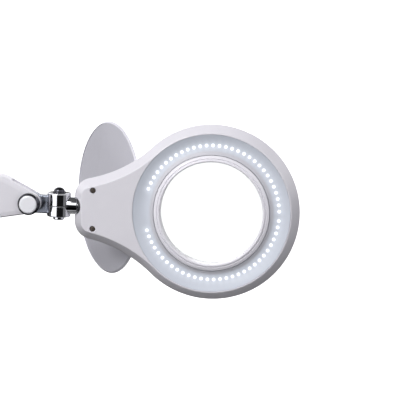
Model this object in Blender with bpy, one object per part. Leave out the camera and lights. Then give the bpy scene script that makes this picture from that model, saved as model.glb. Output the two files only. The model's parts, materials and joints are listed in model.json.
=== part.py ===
"""A clamp-on magnifying lamp: ringed LED head, swivel joint, two locking arms and a desk clamp.

Metres, +Z up. The origin is the seat of the clamp's upper jaw on the desk, and the LEDs face -Y.
"""

from math import acos, asin, cos, pi, radians, sin, sqrt

import bmesh
import bpy
from mathutils import Euler, Matrix, Vector

MM = 0.001

# Clearances
GAP = 0.3 * MM  # between pieces that touch or fit together
RUNNING_GAP = 0.6 * MM  # each side of an eye that turns between two cheeks
CUT = 20 * MM  # how far a cutter runs past what it cuts

# Arms
FOREARM_LENGTH = 340 * MM
LOWER_ARM_LENGTH = 360 * MM
FOREARM_DROP = radians(8)  # below the horizontal, from elbow to head
LOWER_ARM_LEAN = radians(17.5)  # from the vertical, towards the head
ARM_DEPTH = 25 * MM
ARM_WALL = 2.4 * MM
ARM_CHAMFER = 3.5 * MM
ARM_TIP_RADIUS = 12.5 * MM
ARM_SHOULDER_RADIUS = 26 * MM
ARM_SHOULDER_SETBACK = 42 * MM
ARM_ROOT_RADIUS = 20 * MM
ARM_ROOT_SETBACK = 20 * MM
NOTCH_SETBACK = 28 * MM
EYE_THICKNESS = 10 * MM
SPINE_THICKNESS = 5 * MM
SPINE_ROOT_RADIUS = 9 * MM
SPINE_END_RADIUS = 7 * MM
SPINE_END_SETBACK = 56 * MM
ARM_SCREW_SETBACK = 90 * MM
ARM_SCREW_HEIGHT = 14 * MM

# Pivot hardware
BOLT_RADIUS = 4 * MM
BOLT_TAIL = 4.5 * MM
KNOB_RADIUS = 13 * MM
KNOB_HEIGHT = 12 * MM
KNOB_CAP_RADIUS = 10.4 * MM
KNOB_CAP_DEPTH = 2.4 * MM
NUT_RADIUS = 7.5 * MM
NUT_HEIGHT = 4 * MM
SCREW_RADIUS = 1.5 * MM
SCREW_HEAD_RADIUS = 3.2 * MM
SCREW_HEAD_HEIGHT = 2 * MM
SCREW_RECESS = 1.4 * MM
BOSS_WALL = 1.2 * MM

# Lens and its ring: each radius stands a named width outside the one before
LENS_RADIUS = 63.3 * MM
LENS_EDGE = 3 * MM
LENS_CURVATURE = 346 * MM
LENS_LAND = 2.5 * MM
APERTURE_RADIUS = LENS_RADIUS - LENS_LAND
BEAD_WIDTH = 3.1 * MM
BEAD_DROP = 1.8 * MM
BEAD_RADIUS = APERTURE_RADIUS + BEAD_WIDTH
GROOVE_WIDTH = 1.2 * MM
GROOVE_DROP = 2.6 * MM
CONE_INNER_RADIUS = BEAD_RADIUS + GROOVE_WIDTH
CONE_WIDTH = 3.5 * MM
CONE_TOP_DROP = 1.4 * MM
CONE_LIP_DROP = 3.2 * MM
CONE_RIM = 2.2 * MM
CONE_RETURN = 1 * MM
CONE_OUTER_RADIUS = CONE_INNER_RADIUS + CONE_WIDTH
SEAT_WALL = 2.3 * MM

# Diffuser
DIFFUSER_INNER_RADIUS = CONE_OUTER_RADIUS + RUNNING_GAP
DIFFUSER_WIDTH = 24 * MM
DIFFUSER_OUTER_RADIUS = DIFFUSER_INNER_RADIUS + DIFFUSER_WIDTH
DIFFUSER_WALL = 1.5 * MM
DIFFUSER_SAG = 6.3 * MM
DIFFUSER_RISE = 2.2 * MM  # from the inner lip to the outer one

# Head
FACE_OPENING_RADIUS = DIFFUSER_OUTER_RADIUS + GAP
FACE_RIM = 1.3 * MM
FACE_RADIUS = FACE_OPENING_RADIUS + FACE_RIM
FACE_BEVEL = 1.2 * MM
HEAD_DEPTH = 24.6 * MM
CHAMFER_WIDTH = 10.3 * MM
HEAD_WALL = 2.2 * MM
NECK_BLEND_RADIUS = 165 * MM
NECK_BLEND_ANGLE = radians(46.5)
NECK_LENGTH = 59.7 * MM
NECK_SAG = radians(1.1)  # below the stem's line, about the lens's centre
NECK_END = FACE_RADIUS + NECK_LENGTH
NECK_CORNER_RADIUS = 12 * MM
HOUSING_SCREW_INSET = 13.7 * MM
HOUSING_SCREW_BACK = NECK_END - HOUSING_SCREW_INSET
HOUSING_SCREW_SPREAD = 23 * MM
LENS_STAND = 6.3 * MM  # from the head's back to the lens's middle
LENS_HEADROOM = 2.3 * MM  # from the lens's middle to the ring's rear
LENS_PLANE = -HEAD_DEPTH + LENS_STAND
BEZEL_REAR = LENS_PLANE + LENS_HEADROOM

# LED boards
LED_INSET = 10.9 * MM
LED_RADIUS = DIFFUSER_INNER_RADIUS + LED_INSET
LED_PITCH = radians(5.445)
LED_FIRST = radians(4.0)
LED_COUNT = 30
LED_SIDE = 3 * MM
LED_HEIGHT = 0.8 * MM
BOARD_INNER_MARGIN = 6.1 * MM
BOARD_OUTER_MARGIN = 7.9 * MM
BOARD_INNER_RADIUS = LED_RADIUS - BOARD_INNER_MARGIN
BOARD_OUTER_RADIUS = LED_RADIUS + BOARD_OUTER_MARGIN
BOARD_THICKNESS = 1.6 * MM
LED_CLEARANCE = 0.5 * MM
DIFFUSER_BACK = CONE_LIP_DROP - DIFFUSER_RISE / 2 + DIFFUSER_SAG + DIFFUSER_WALL
BOARD_FACE = -DIFFUSER_BACK - LED_CLEARANCE - LED_HEIGHT
DRIVER_FACE = -10.6 * MM
DRIVER_LENGTH = 28 * MM
DRIVER_WIDTH = 24 * MM
SWITCH_HALF = 4 * MM
SWITCH_CLEARANCE = 2 * MM
COIL_MARGIN = 0.8 * MM

# Lens cover
COVER_OVERHANG = 0.9 * MM
COVER_RADIUS = FACE_RADIUS + COVER_OVERHANG
COVER_THICKNESS = 2.5 * MM
COVER_BEVEL = 1.9 * MM
HINGE_RADIUS = 2.6 * MM
HINGE_PIN_RADIUS = 1.2 * MM
HINGE_KNUCKLE = 24 * MM
HINGE_LUG = 8 * MM
COVER_HINGE_INSET = 7 * MM
COVER_HINGE_BACK = COVER_RADIUS - COVER_HINGE_INSET
COVER_HINGE_RISE = 2.4 * MM
COVER_HINGE_PLANE = -HEAD_DEPTH - COVER_HINGE_RISE
COVER_OPEN = radians(122.8)
COVER_CHORD_INSET = 4.7 * MM

# Power button
BUTTON_INSET = 34.5 * MM
BUTTON_BACK = NECK_END - BUTTON_INSET
BUTTON_RADIUS = 6 * MM
BUTTON_PROUD = 1.8 * MM
BUTTON_FLANGE = 1.5 * MM

# Swivel joint
STEM_RADIUS = 10.2 * MM
STEM_SHAFT_RADIUS = 6 * MM
BUSH_LENGTH = 17 * MM
COLLAR_LENGTH = 5 * MM
COLLAR_WALL = 1.6 * MM
STEM_REACH = 28.9 * MM
SWIVEL_BACK = NECK_END + STEM_REACH
BARREL_RADIUS = 14 * MM
BARREL_BORE = 4 * MM
BARREL_TOP = 14.5 * MM
BARREL_BOTTOM = -14 * MM
SPLIT_HEIGHT = -1 * MM
SPLIT_WASHER = 0.6 * MM
LINK_LENGTH = 32.7 * MM
LINK_DROP = 1.4 * MM  # from the tilt axis down to the stem's line
LINK_HALF_HEIGHT = 11 * MM
LINK_BEVEL = 1.2 * MM
DOME_RADIUS = 6.5 * MM
DOME_HEIGHT = 5 * MM
DOME_FLANGE_RADIUS = 8 * MM
DOME_FLANGE = 1.2 * MM

# Base and clamp
BASE_PIVOT_HEIGHT = 75 * MM
FORK_FLOOR_DROP = 21 * MM
FORK_BASE_DROP = 29 * MM
FORK_FOOT_RADIUS = 15 * MM
POST_RADIUS = 8 * MM
POST_BUSH_WALL = 1.8 * MM
BOSS_RADIUS = 15 * MM
BOSS_TOP = 40 * MM
BOSS_BORE_FLOOR = 12 * MM
JAW_PAD = 1.5 * MM
JAW_THICKNESS = 11 * MM
CLAMP_WIDTH = 44 * MM
CLAMP_BACK = -38 * MM
CLAMP_SPINE = 12 * MM
JAW_REACH = 36 * MM
THROAT = 62 * MM
LOWER_JAW = 12 * MM
CLAMP_SCREW_RADIUS = 5 * MM
CLAMP_SCREW_TAPER = 1.5 * MM
LOWER_JAW_STEP = 10 * MM
JAW_PAD_MARGIN = 2 * MM
PAD_TOP = -36 * MM
PAD_RADIUS = 16 * MM
PAD_THICKNESS = 6 * MM
SCREW_END = -112 * MM
HANDLE_RADIUS = 3 * MM
HANDLE_HALF = 32 * MM

# Power inlet
INLET_RADIUS = 4 * MM
INLET_BORE = 2.75 * MM
INLET_FLANGE = 1.2 * MM
INLET_BACK = 64 * MM
INLET_DROP = 11 * MM

# Facets round a turned piece
RING_STEPS = 40
ROUND_STEPS = 20
SMALL_STEPS = 12

# Finishes: colour, roughness, metallic
WHITE = ((0.66, 0.65, 0.68), 0.35, 0.0)
FROST = ((0.50, 0.53, 0.60), 0.45, 0.0)
CHROME = ((0.80, 0.80, 0.82), 0.08, 1.0)
STEEL = ((0.50, 0.50, 0.52), 0.30, 1.0)
BLUE_GREY = ((0.21, 0.24, 0.28), 0.30, 1.0)
DARK = ((0.02, 0.02, 0.02), 0.60, 0.0)
GLASS = ((0.85, 0.90, 0.92), 0.02, 0.0)
BOARD = ((0.75, 0.75, 0.70), 0.50, 0.0)


def clear_scene():
    """Removes everything that the scene starts with."""
    for found in list(bpy.data.objects):
        bpy.data.objects.remove(found, do_unlink=True)


def paint(thing, finish):
    """Gives an object its own Principled material."""
    colour, roughness, metallic = finish
    material = bpy.data.materials.new(thing.name)
    material.use_nodes = True
    shader = material.node_tree.nodes["Principled BSDF"]
    shader.inputs["Base Color"].default_value = (*colour, 1.0)
    shader.inputs["Roughness"].default_value = roughness
    shader.inputs["Metallic"].default_value = metallic
    thing.data.materials.append(material)


def axis_empty(name, parent=None, location=(0, 0, 0), turn_about_y=0.0, turn_about_z=0.0):
    """An empty on a joint's axis, which the pieces of one moving body hang from."""
    empty = bpy.data.objects.new(name, None)
    bpy.context.scene.collection.objects.link(empty)
    empty.parent = parent
    empty.location = location
    empty.rotation_euler = Euler((0, turn_about_y, turn_about_z))
    return empty


def solid(name, build, parent, finish=None):
    """Links a closed bmesh as an object; one with no finish is a hidden cutter or filler."""
    bmesh.ops.recalc_face_normals(build, faces=build.faces)
    mesh = bpy.data.meshes.new(name)
    build.to_mesh(mesh)
    build.free()
    thing = bpy.data.objects.new(name, mesh)
    bpy.context.scene.collection.objects.link(thing)
    thing.parent = parent
    if finish is None:
        thing.hide_render = True
        thing.display_type = "WIRE"
        return thing
    mesh.shade_smooth()
    mesh.set_sharp_from_angle(angle=radians(35))
    paint(thing, finish)
    return thing


def combine(target, tool, operation):
    """Adds a Boolean of the target with a hidden tool."""
    modifier = target.modifiers.new(tool.name, "BOOLEAN")
    modifier.operation = operation
    modifier.object = tool
    modifier.solver = "EXACT"
    return target


def cut(target, *tools):
    """Takes each tool away from the target."""
    for tool in tools:
        combine(target, tool, "DIFFERENCE")
    return target


def fuse(target, *tools):
    """Joins each tool to the target."""
    for tool in tools:
        combine(target, tool, "UNION")
    return target


AXIS_TURN = {
    "X": Matrix.Rotation(radians(90), 4, "Y"),
    "Y": Matrix.Rotation(radians(-90), 4, "X"),
    "Z": Matrix.Identity(4),
}


def stitch(build, rows, closed_rows):
    """Joins equal rows of vertices with faces, round each row and, if asked, from the last to the first."""
    pairs = list(zip(rows, rows[1:]))
    if closed_rows:
        pairs.append((rows[-1], rows[0]))
    for lower, upper in pairs:
        count = len(lower)
        for index in range(count):
            following = (index + 1) % count
            build.faces.new((lower[index], lower[following], upper[following], upper[index]))


def turned(name, profile, parent, finish=None, axis="Z", centre=(0, 0, 0), steps=ROUND_STEPS, hollow=False):
    """A profile of (radius, height) points turned about an axis.

    A hollow one closes its profile into a ring; otherwise both ends are flat discs.
    """
    build = bmesh.new()
    place = Matrix.Translation(centre) @ AXIS_TURN[axis]
    rows = []
    for radius, height in profile:
        row = []
        for step in range(steps):
            angle = 2 * pi * step / steps
            row.append(build.verts.new(place @ Vector((radius * cos(angle), radius * sin(angle), height))))
        rows.append(row)
    stitch(build, rows, hollow)
    if not hollow:
        build.faces.new(rows[0])
        build.faces.new(rows[-1])
    return solid(name, build, parent, finish)


def tube(name, inner, outer, start, end, parent, finish=None, **where):
    """A plain ring between two heights along its axis."""
    profile = [(inner, start), (outer, start), (outer, end), (inner, end)]
    return turned(name, profile, parent, finish, hollow=True, **where)


def rod(name, radius, start, end, parent, finish=None, **where):
    """A plain cylinder between two heights along its axis."""
    return turned(name, [(radius, start), (radius, end)], parent, finish, **where)


def loft(name, layers, parent, finish=None):
    """Outlines of (x, z) points at depths y, joined from the first layer to the last."""
    build = bmesh.new()
    rows = []
    for depth, outline in layers:
        rows.append([build.verts.new((x, depth, z)) for x, z in outline])
    stitch(build, rows, False)
    build.faces.new(rows[0])
    build.faces.new(rows[-1])
    return solid(name, build, parent, finish)


def block(name, low, high, parent, finish=None, bevel=0.0):
    """A box between two corners, with its edges bevelled if asked."""
    build = bmesh.new()
    bmesh.ops.create_cube(build, size=1)
    size = Vector(high) - Vector(low)
    middle = (Vector(high) + Vector(low)) / 2
    bmesh.ops.scale(build, vec=size, verts=build.verts)
    bmesh.ops.translate(build, vec=middle, verts=build.verts)
    if bevel:
        bmesh.ops.bevel(build, geom=list(build.edges), offset=bevel, segments=2, affect="EDGES", profile=0.5)
    return solid(name, build, parent, finish)


def arc(centre, radius, start, end, steps):
    """Points on an arc of a circle, both ends included."""
    points = []
    for step in range(steps + 1):
        angle = start + (end - start) * step / steps
        points.append((centre[0] + radius * cos(angle), centre[1] + radius * sin(angle)))
    return points


def wrapped_outline(circles, steps=7):
    """The outline round circles (x, radius) that stand in a row along x, as a belt would run."""
    leans = []
    for (x, radius), (next_x, next_radius) in zip(circles, circles[1:]):
        leans.append(acos((radius - next_radius) / (next_x - x)))
    starts = [pi] + leans
    ends = leans + [0.0]
    upper = []
    for (x, radius), start, end in zip(circles, starts, ends):
        count = steps if abs(start - end) > radians(40) else 2
        upper += arc((x, 0), radius, start, end, count)
    lower = [(x, -z) for x, z in reversed(upper[1:-1])]
    return upper + lower


# ---------------------------------------------------------------- arms


def arm_circles(length, inset):
    """The three circles that an arm shell wraps, drawn in by an inset."""
    root = ARM_ROOT_SETBACK + ARM_ROOT_RADIUS
    return [
        (root, ARM_ROOT_RADIUS - inset),
        (length - ARM_SHOULDER_SETBACK, ARM_SHOULDER_RADIUS - inset),
        (length, ARM_TIP_RADIUS - inset),
    ]


def cavity_circles(length):
    """The two circles that an arm's hollow wraps: it stops at the wall behind the notch."""
    root = ARM_ROOT_SETBACK + ARM_ROOT_RADIUS
    end_radius = ARM_SHOULDER_RADIUS - 2 * ARM_WALL
    end = length - NOTCH_SETBACK - ARM_WALL - end_radius
    return [(root, ARM_ROOT_RADIUS - ARM_WALL), (end, end_radius)]


def arm_screw_places(length):
    """Where the two screws of an arm stand, as (x, z)."""
    return [(x, ARM_SCREW_HEIGHT) for x in (ARM_SCREW_SETBACK, length - ARM_SCREW_SETBACK)]


def arm_shell(name, length, side, parent):
    """One half of an arm's casing, in front (side -1) or behind (side 1)."""
    outer = side * ARM_DEPTH / 2
    chamfered = side * (ARM_DEPTH / 2 - ARM_CHAMFER)
    seam = side * GAP / 2
    floor = side * (ARM_DEPTH / 2 - ARM_WALL)
    cheek = EYE_THICKNESS / 2 + RUNNING_GAP
    layers = [
        (outer, wrapped_outline(arm_circles(length, ARM_CHAMFER))),
        (chamfered, wrapped_outline(arm_circles(length, 0))),
        (seam, wrapped_outline(arm_circles(length, 0))),
    ]
    shell = loft(name, layers, parent, WHITE)
    hollow = wrapped_outline(cavity_circles(length))
    cut(
        shell,
        loft(name + "_hollow", [(floor, hollow), (-side * CUT, hollow)], parent),
        block(
            name + "_notch",
            (length - NOTCH_SETBACK, -cheek, -2 * ARM_SHOULDER_RADIUS),
            (length + CUT, cheek, 2 * ARM_SHOULDER_RADIUS),
            parent,
        ),
        block(
            name + "_root_slot",
            (0, -SPINE_THICKNESS / 2 - GAP, -SPINE_ROOT_RADIUS - 2 * GAP),
            (ARM_ROOT_SETBACK + ARM_ROOT_RADIUS / 2, SPINE_THICKNESS / 2 + GAP, SPINE_ROOT_RADIUS + 2 * GAP),
            parent,
        ),
        rod(
            name + "_pivot_hole",
            BOLT_RADIUS + GAP,
            -CUT,
            CUT,
            parent,
            axis="Y",
            centre=(length, 0, 0),
            steps=SMALL_STEPS,
        ),
    )
    return shell


def arm_bosses(shell, length, side, parent):
    """Screw bosses in a shell: the rear ones take the heads, the front ones the threads."""
    floor = side * (ARM_DEPTH / 2 - ARM_WALL / 2)
    seam = side * GAP / 2
    for number, (x, z) in enumerate(arm_screw_places(length), 1):
        where = {"axis": "Y", "centre": (x, 0, z), "steps": SMALL_STEPS}
        name = f"{shell.name}_boss_{number}"
        outer = SCREW_HEAD_RADIUS + GAP + BOSS_WALL if side > 0 else SCREW_RADIUS + GAP + BOSS_WALL
        fuse(shell, rod(name, outer, floor, seam, parent, **where))
        if side > 0:
            head_seat = ARM_DEPTH / 2 - SCREW_RECESS - SCREW_HEAD_HEIGHT - GAP
            cut(shell, rod(name + "_bore", SCREW_RADIUS + GAP, -CUT, head_seat + GAP, parent, **where))
            cut(shell, rod(name + "_head_bore", SCREW_HEAD_RADIUS + GAP, head_seat, CUT, parent, **where))
        else:
            cut(shell, rod(name + "_bore", SCREW_RADIUS + GAP, -ARM_DEPTH / 2 + 2 * ARM_WALL, CUT, parent, **where))


def screw(name, head_top, tip, parent, x, z):
    """A pan-head screw along y, from the top of its head to its tip."""
    way = 1 if tip > head_top else -1
    under = head_top + way * SCREW_HEAD_HEIGHT
    profile = [
        (SCREW_HEAD_RADIUS - SCREW_HEAD_HEIGHT / 3, head_top),
        (SCREW_HEAD_RADIUS, head_top + way * SCREW_HEAD_HEIGHT / 3),
        (SCREW_HEAD_RADIUS, under),
        (SCREW_RADIUS, under),
        (SCREW_RADIUS, tip),
    ]
    return turned(name, profile, parent, DARK, axis="Y", centre=(x, 0, z), steps=SMALL_STEPS)


def arm_spine(name, length, parent):
    """The metal bar inside an arm, with the eye that the next fork holds."""
    circles = [(0, SPINE_ROOT_RADIUS), (length - SPINE_END_SETBACK, SPINE_END_RADIUS)]
    outline = wrapped_outline(circles)
    half = SPINE_THICKNESS / 2
    spine = loft(name, [(-half, outline), (half, outline)], parent, STEEL)
    eye = rod(
        name + "_eye", ARM_TIP_RADIUS, -EYE_THICKNESS / 2, EYE_THICKNESS / 2, parent, axis="Y", steps=ROUND_STEPS
    )
    fuse(spine, eye)
    return cut(spine, rod(name + "_bore", BOLT_RADIUS + GAP, -CUT, CUT, parent, axis="Y", steps=SMALL_STEPS))


def build_arm(name, length, parent):
    """Both shells of an arm, its spine and its screws."""
    front = arm_shell(name + "_front_shell", length, -1, parent)
    rear = arm_shell(name + "_rear_shell", length, 1, parent)
    arm_bosses(front, length, -1, parent)
    arm_bosses(rear, length, 1, parent)
    arm_spine(name + "_spine", length, parent)
    for number, (x, z) in enumerate(arm_screw_places(length), 1):
        head_top = ARM_DEPTH / 2 - SCREW_RECESS
        screw(f"{name}_screw_{number}", head_top, -ARM_DEPTH / 4, parent, x, z)
    return front, rear


def pivot_hardware(name, fork_parent, place, face, back):
    """The knob with its cap and bolt, which turn together, and the nut behind."""
    turning = axis_empty(name + "_knob_axis", fork_parent, place)
    base = -face - GAP
    top = base - KNOB_HEIGHT
    recess = top + KNOB_CAP_DEPTH
    bolt_end = base - KNOB_HEIGHT / 2
    profile = [
        (BOLT_RADIUS + GAP, base),
        (0.8 * KNOB_RADIUS, base),
        (KNOB_RADIUS, base - 0.2 * KNOB_HEIGHT),
        (KNOB_RADIUS, base - 0.75 * KNOB_HEIGHT),
        (KNOB_CAP_RADIUS + 3 * GAP, top),
        (KNOB_CAP_RADIUS + GAP, recess),
        (BOLT_RADIUS / 2, recess),
        (BOLT_RADIUS / 2, bolt_end - GAP),
        (BOLT_RADIUS + GAP, bolt_end - GAP),
    ]
    turned(name + "_knob", profile, turning, CHROME, axis="Y", steps=ROUND_STEPS, hollow=True)
    cap = [
        (KNOB_CAP_RADIUS, recess - GAP),
        (KNOB_CAP_RADIUS, top + GAP),
        (0.86 * KNOB_CAP_RADIUS, top - GAP),
    ]
    turned(name + "_knob_cap", cap, turning, WHITE, axis="Y", steps=ROUND_STEPS)
    tail = back + BOLT_TAIL + GAP
    rod(name + "_bolt", BOLT_RADIUS, bolt_end, tail, turning, STEEL, axis="Y", steps=SMALL_STEPS)
    hexagon = {"axis": "Y", "centre": place, "steps": 6}
    nut = rod(name + "_nut", NUT_RADIUS, back + GAP, back + GAP + NUT_HEIGHT, fork_parent, STEEL, **hexagon)
    bore = {"axis": "Y", "centre": place, "steps": SMALL_STEPS}
    cut(nut, rod(name + "_nut_bore", BOLT_RADIUS + GAP, back, back + CUT, fork_parent, **bore))


# ---------------------------------------------------------------- head


def depth(z):
    """A depth below the head's face (negative) as y: the middle of the head's thickness is y = 0."""
    return -z - HEAD_DEPTH / 2


def sagged(x, z):
    """A point of the neck, turned by its sag about the lens's centre."""
    return (x * cos(NECK_SAG) - z * sin(NECK_SAG), x * sin(NECK_SAG) + z * cos(NECK_SAG))


def head_outline(offset):
    """The round face with its neck, as (x, z) points, grown outwards by an offset."""
    reach = FACE_RADIUS + NECK_BLEND_RADIUS
    blend = (-reach * cos(NECK_BLEND_ANGLE), reach * sin(NECK_BLEND_ANGLE))
    corner_x = -NECK_END + NECK_CORNER_RADIUS
    drop = sqrt((NECK_BLEND_RADIUS + NECK_CORNER_RADIUS) ** 2 - (blend[0] - corner_x) ** 2)
    corner = (corner_x, blend[1] - drop)
    lean = asin(drop / (NECK_BLEND_RADIUS + NECK_CORNER_RADIUS))
    round_part = arc((0, 0), FACE_RADIUS + offset, 0, pi - NECK_BLEND_ANGLE, 20)
    start = -NECK_BLEND_ANGLE
    end = -lean if corner[0] > blend[0] else -pi + lean
    hollow_part = arc(blend, NECK_BLEND_RADIUS - offset, start, end, 6)[1:]
    corner_part = arc(corner, NECK_CORNER_RADIUS + offset, pi + end, pi, 3)[1:]
    upper = round_part + hollow_part + corner_part
    lower = [(x, -z) for x, z in reversed(upper[1:])]
    return [sagged(x, z) for x, z in upper + lower]


def housing_half(name, side, parent):
    """One shell of the head: the front one (side 1) has the face, the back one (side -1) the lens seat."""
    middle = -HEAD_DEPTH / 2
    top = middle + side * HEAD_DEPTH / 2
    bevelled = top - side * FACE_BEVEL
    seam = middle + side * GAP / 2
    ceiling = top - side * HEAD_WALL
    past = middle - side * CUT
    layers = [
        (depth(top), head_outline(-FACE_BEVEL / 2)),
        (depth(bevelled), head_outline(FACE_BEVEL / 2)),
        (depth(seam), head_outline(CHAMFER_WIDTH)),
    ]
    shell = loft(name, layers, parent, WHITE)
    inner_seam = CHAMFER_WIDTH - HEAD_WALL
    hollow = [
        (depth(ceiling), head_outline(FACE_OPENING_RADIUS - FACE_RADIUS - GAP)),
        (depth(seam), head_outline(inner_seam)),
        (depth(past), head_outline(inner_seam)),
    ]
    return cut(shell, loft(name + "_hollow", hollow, parent))


def stem_cutter(name, parent):
    """What the stem's way into the neck takes from a housing half."""
    return rod(
        name, STEM_RADIUS + 2 * GAP, -NECK_END - CUT, -NECK_END + NECK_CORNER_RADIUS / 2, parent, axis="X", steps=ROUND_STEPS
    )


def housing_screw_places():
    """The two screw places in the neck, as (x, z)."""
    return [sagged(-HOUSING_SCREW_BACK, side * HOUSING_SCREW_SPREAD) for side in (1, -1)]


def front_housing(parent):
    """The face, open for the diffuser, with two counterbored screw bosses in the neck."""
    shell = housing_half("front_housing", 1, parent)
    cut(shell, rod("face_opening", FACE_OPENING_RADIUS, -CUT, CUT, parent, axis="Y", steps=RING_STEPS))
    seat = -SCREW_RECESS - SCREW_HEAD_HEIGHT - GAP
    for number, (x, z) in enumerate(housing_screw_places(), 1):
        where = {"axis": "Y", "centre": (x, 0, z), "steps": SMALL_STEPS}
        radius = SCREW_HEAD_RADIUS + GAP
        boss = rod(
            f"front_boss_{number}", radius + BOSS_WALL, depth(-HEAD_WALL / 2), -GAP / 2, parent, **where
        )
        fuse(shell, boss)
        cut(
            shell,
            rod(f"front_head_bore_{number}", radius, depth(CUT), depth(seat), parent, **where),
            rod(f"front_bore_{number}", SCREW_RADIUS + GAP, depth(seat + GAP), CUT, parent, **where),
        )
    return cut(shell, stem_cutter("front_stem_way", parent))


def back_housing(parent):
    """The back, with the lens seat, threaded bosses, the button's hole and the cover's hinge lugs."""
    shell = housing_half("back_housing", -1, parent)
    floor = -HEAD_DEPTH + HEAD_WALL / 2
    seat_inner = LENS_RADIUS + GAP
    seat = tube(
        "lens_seat",
        seat_inner,
        seat_inner + SEAT_WALL,
        depth(floor),
        depth(BEZEL_REAR - 2 * GAP),
        parent,
        axis="Y",
        steps=RING_STEPS,
    )
    fuse(shell, seat)
    cut(shell, rod("lens_hole", APERTURE_RADIUS, -CUT, 2 * CUT, parent, axis="Y", steps=RING_STEPS))
    for number, (x, z) in enumerate(housing_screw_places(), 1):
        where = {"axis": "Y", "centre": (x, 0, z), "steps": SMALL_STEPS}
        outer = SCREW_RADIUS + GAP + BOSS_WALL
        fuse(shell, rod(f"back_boss_{number}", outer, GAP / 2, depth(floor), parent, **where))
        bore_end = depth(-HEAD_DEPTH + 2 * HEAD_WALL)
        cut(shell, rod(f"back_bore_{number}", SCREW_RADIUS + GAP, -CUT, bore_end, parent, **where))
    button_hole = rod(
        "button_hole",
        BUTTON_RADIUS + GAP,
        0,
        2 * CUT,
        parent,
        axis="Y",
        centre=(-BUTTON_BACK, 0, 0),
        steps=ROUND_STEPS,
    )
    cut(shell, button_hole, stem_cutter("back_stem_way", parent))
    hinge = {"centre": (-COVER_HINGE_BACK, depth(COVER_HINGE_PLANE), 0), "steps": SMALL_STEPS}
    groove_end = HINGE_KNUCKLE + GAP
    groove = rod("hinge_groove", HINGE_RADIUS + 2 * GAP, -groove_end, groove_end, parent, **hinge)
    cut(shell, groove)
    for side in (-1, 1):
        near = side * (HINGE_KNUCKLE + 2 * GAP)
        far = side * (HINGE_KNUCKLE + 2 * GAP + HINGE_LUG)
        label = "upper" if side > 0 else "lower"
        low = min(near, far)
        high = max(near, far)
        lug = block(
            f"hinge_lug_{label}",
            (-COVER_HINGE_BACK - HINGE_RADIUS, depth(floor), low),
            (-COVER_HINGE_BACK + HINGE_RADIUS, depth(COVER_HINGE_PLANE), high),
            parent,
        )
        fuse(shell, lug, rod(f"hinge_eye_{label}", HINGE_RADIUS, low, high, parent, **hinge))
    pin_end = HINGE_KNUCKLE + HINGE_LUG + CUT
    return cut(shell, rod("hinge_bore", HINGE_PIN_RADIUS + GAP, -pin_end, pin_end, parent, **hinge))


def bead_profile():
    """The inner ring in section: bore, rounded bead, groove, cone, and the skirt behind it."""
    bead_middle = (APERTURE_RADIUS + BEAD_RADIUS) / 2
    bead_half = (BEAD_RADIUS - APERTURE_RADIUS) / 2
    profile = [(APERTURE_RADIUS, depth(BEZEL_REAR))]
    for step in range(5):
        angle = pi - pi * step / 4
        profile.append((bead_middle + bead_half * cos(angle), depth(bead_half * sin(angle) - BEAD_DROP)))
    groove = (BEAD_RADIUS + CONE_INNER_RADIUS) / 2
    profile += [
        (groove, depth(-GROOVE_DROP)),
        (CONE_INNER_RADIUS, depth(-CONE_TOP_DROP)),
        (CONE_OUTER_RADIUS, depth(-CONE_LIP_DROP)),
        (CONE_OUTER_RADIUS, depth(-CONE_LIP_DROP - CONE_RIM)),
        (APERTURE_RADIUS + HEAD_WALL, depth(-CONE_LIP_DROP - CONE_RIM - CONE_RETURN)),
        (APERTURE_RADIUS + HEAD_WALL, depth(BEZEL_REAR)),
    ]
    return profile


def lens_bezel(parent):
    """The white ring round the lens, with its polished bead."""
    return turned("lens_bezel", bead_profile(), parent, WHITE, axis="Y", steps=RING_STEPS, hollow=True)


def diffuser_ring(parent):
    """The frosted channel over the LEDs: its two slopes meet on the LED circle."""
    front = []
    for step in range(6):
        share = step / 5
        radius = DIFFUSER_INNER_RADIUS + DIFFUSER_WIDTH * share
        lip = DIFFUSER_RISE * share - CONE_LIP_DROP
        sag = DIFFUSER_SAG * sin(pi * share) ** 0.8 if 0 < share < 1 else 0.0
        front.append((radius, lip - sag))
    profile = [(radius, depth(z)) for radius, z in front]
    profile += [(radius, depth(z - DIFFUSER_WALL)) for radius, z in reversed(front)]
    return turned("diffuser_ring", profile, parent, FROST, axis="Y", steps=RING_STEPS, hollow=True)


def magnifier_lens(parent):
    """The biconvex glass, its two faces spheres of one radius."""
    edge_sag = LENS_RADIUS**2 / (2 * LENS_CURVATURE)
    profile = []
    for step in range(1, 5):
        radius = LENS_RADIUS * step / 4
        bulge = edge_sag - radius**2 / (2 * LENS_CURVATURE)
        profile.append((radius, LENS_EDGE / 2 + bulge))
    profile += [(radius, -height) for radius, height in reversed(profile)]
    placed = [(radius, depth(LENS_PLANE + height)) for radius, height in profile]
    return turned("magnifier_lens", placed, parent, GLASS, axis="Y", steps=RING_STEPS)


def lens_gasket(parent):
    """The rubber ring between the lens's rim and the back's lip."""
    top = LENS_PLANE - LENS_EDGE / 2 - 3 * GAP
    bottom = -HEAD_DEPTH + HEAD_WALL + GAP
    return tube(
        "lens_gasket",
        APERTURE_RADIUS + 2 * GAP,
        LENS_RADIUS,
        depth(top),
        depth(bottom),
        parent,
        DARK,
        axis="Y",
        steps=RING_STEPS,
    )


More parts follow.
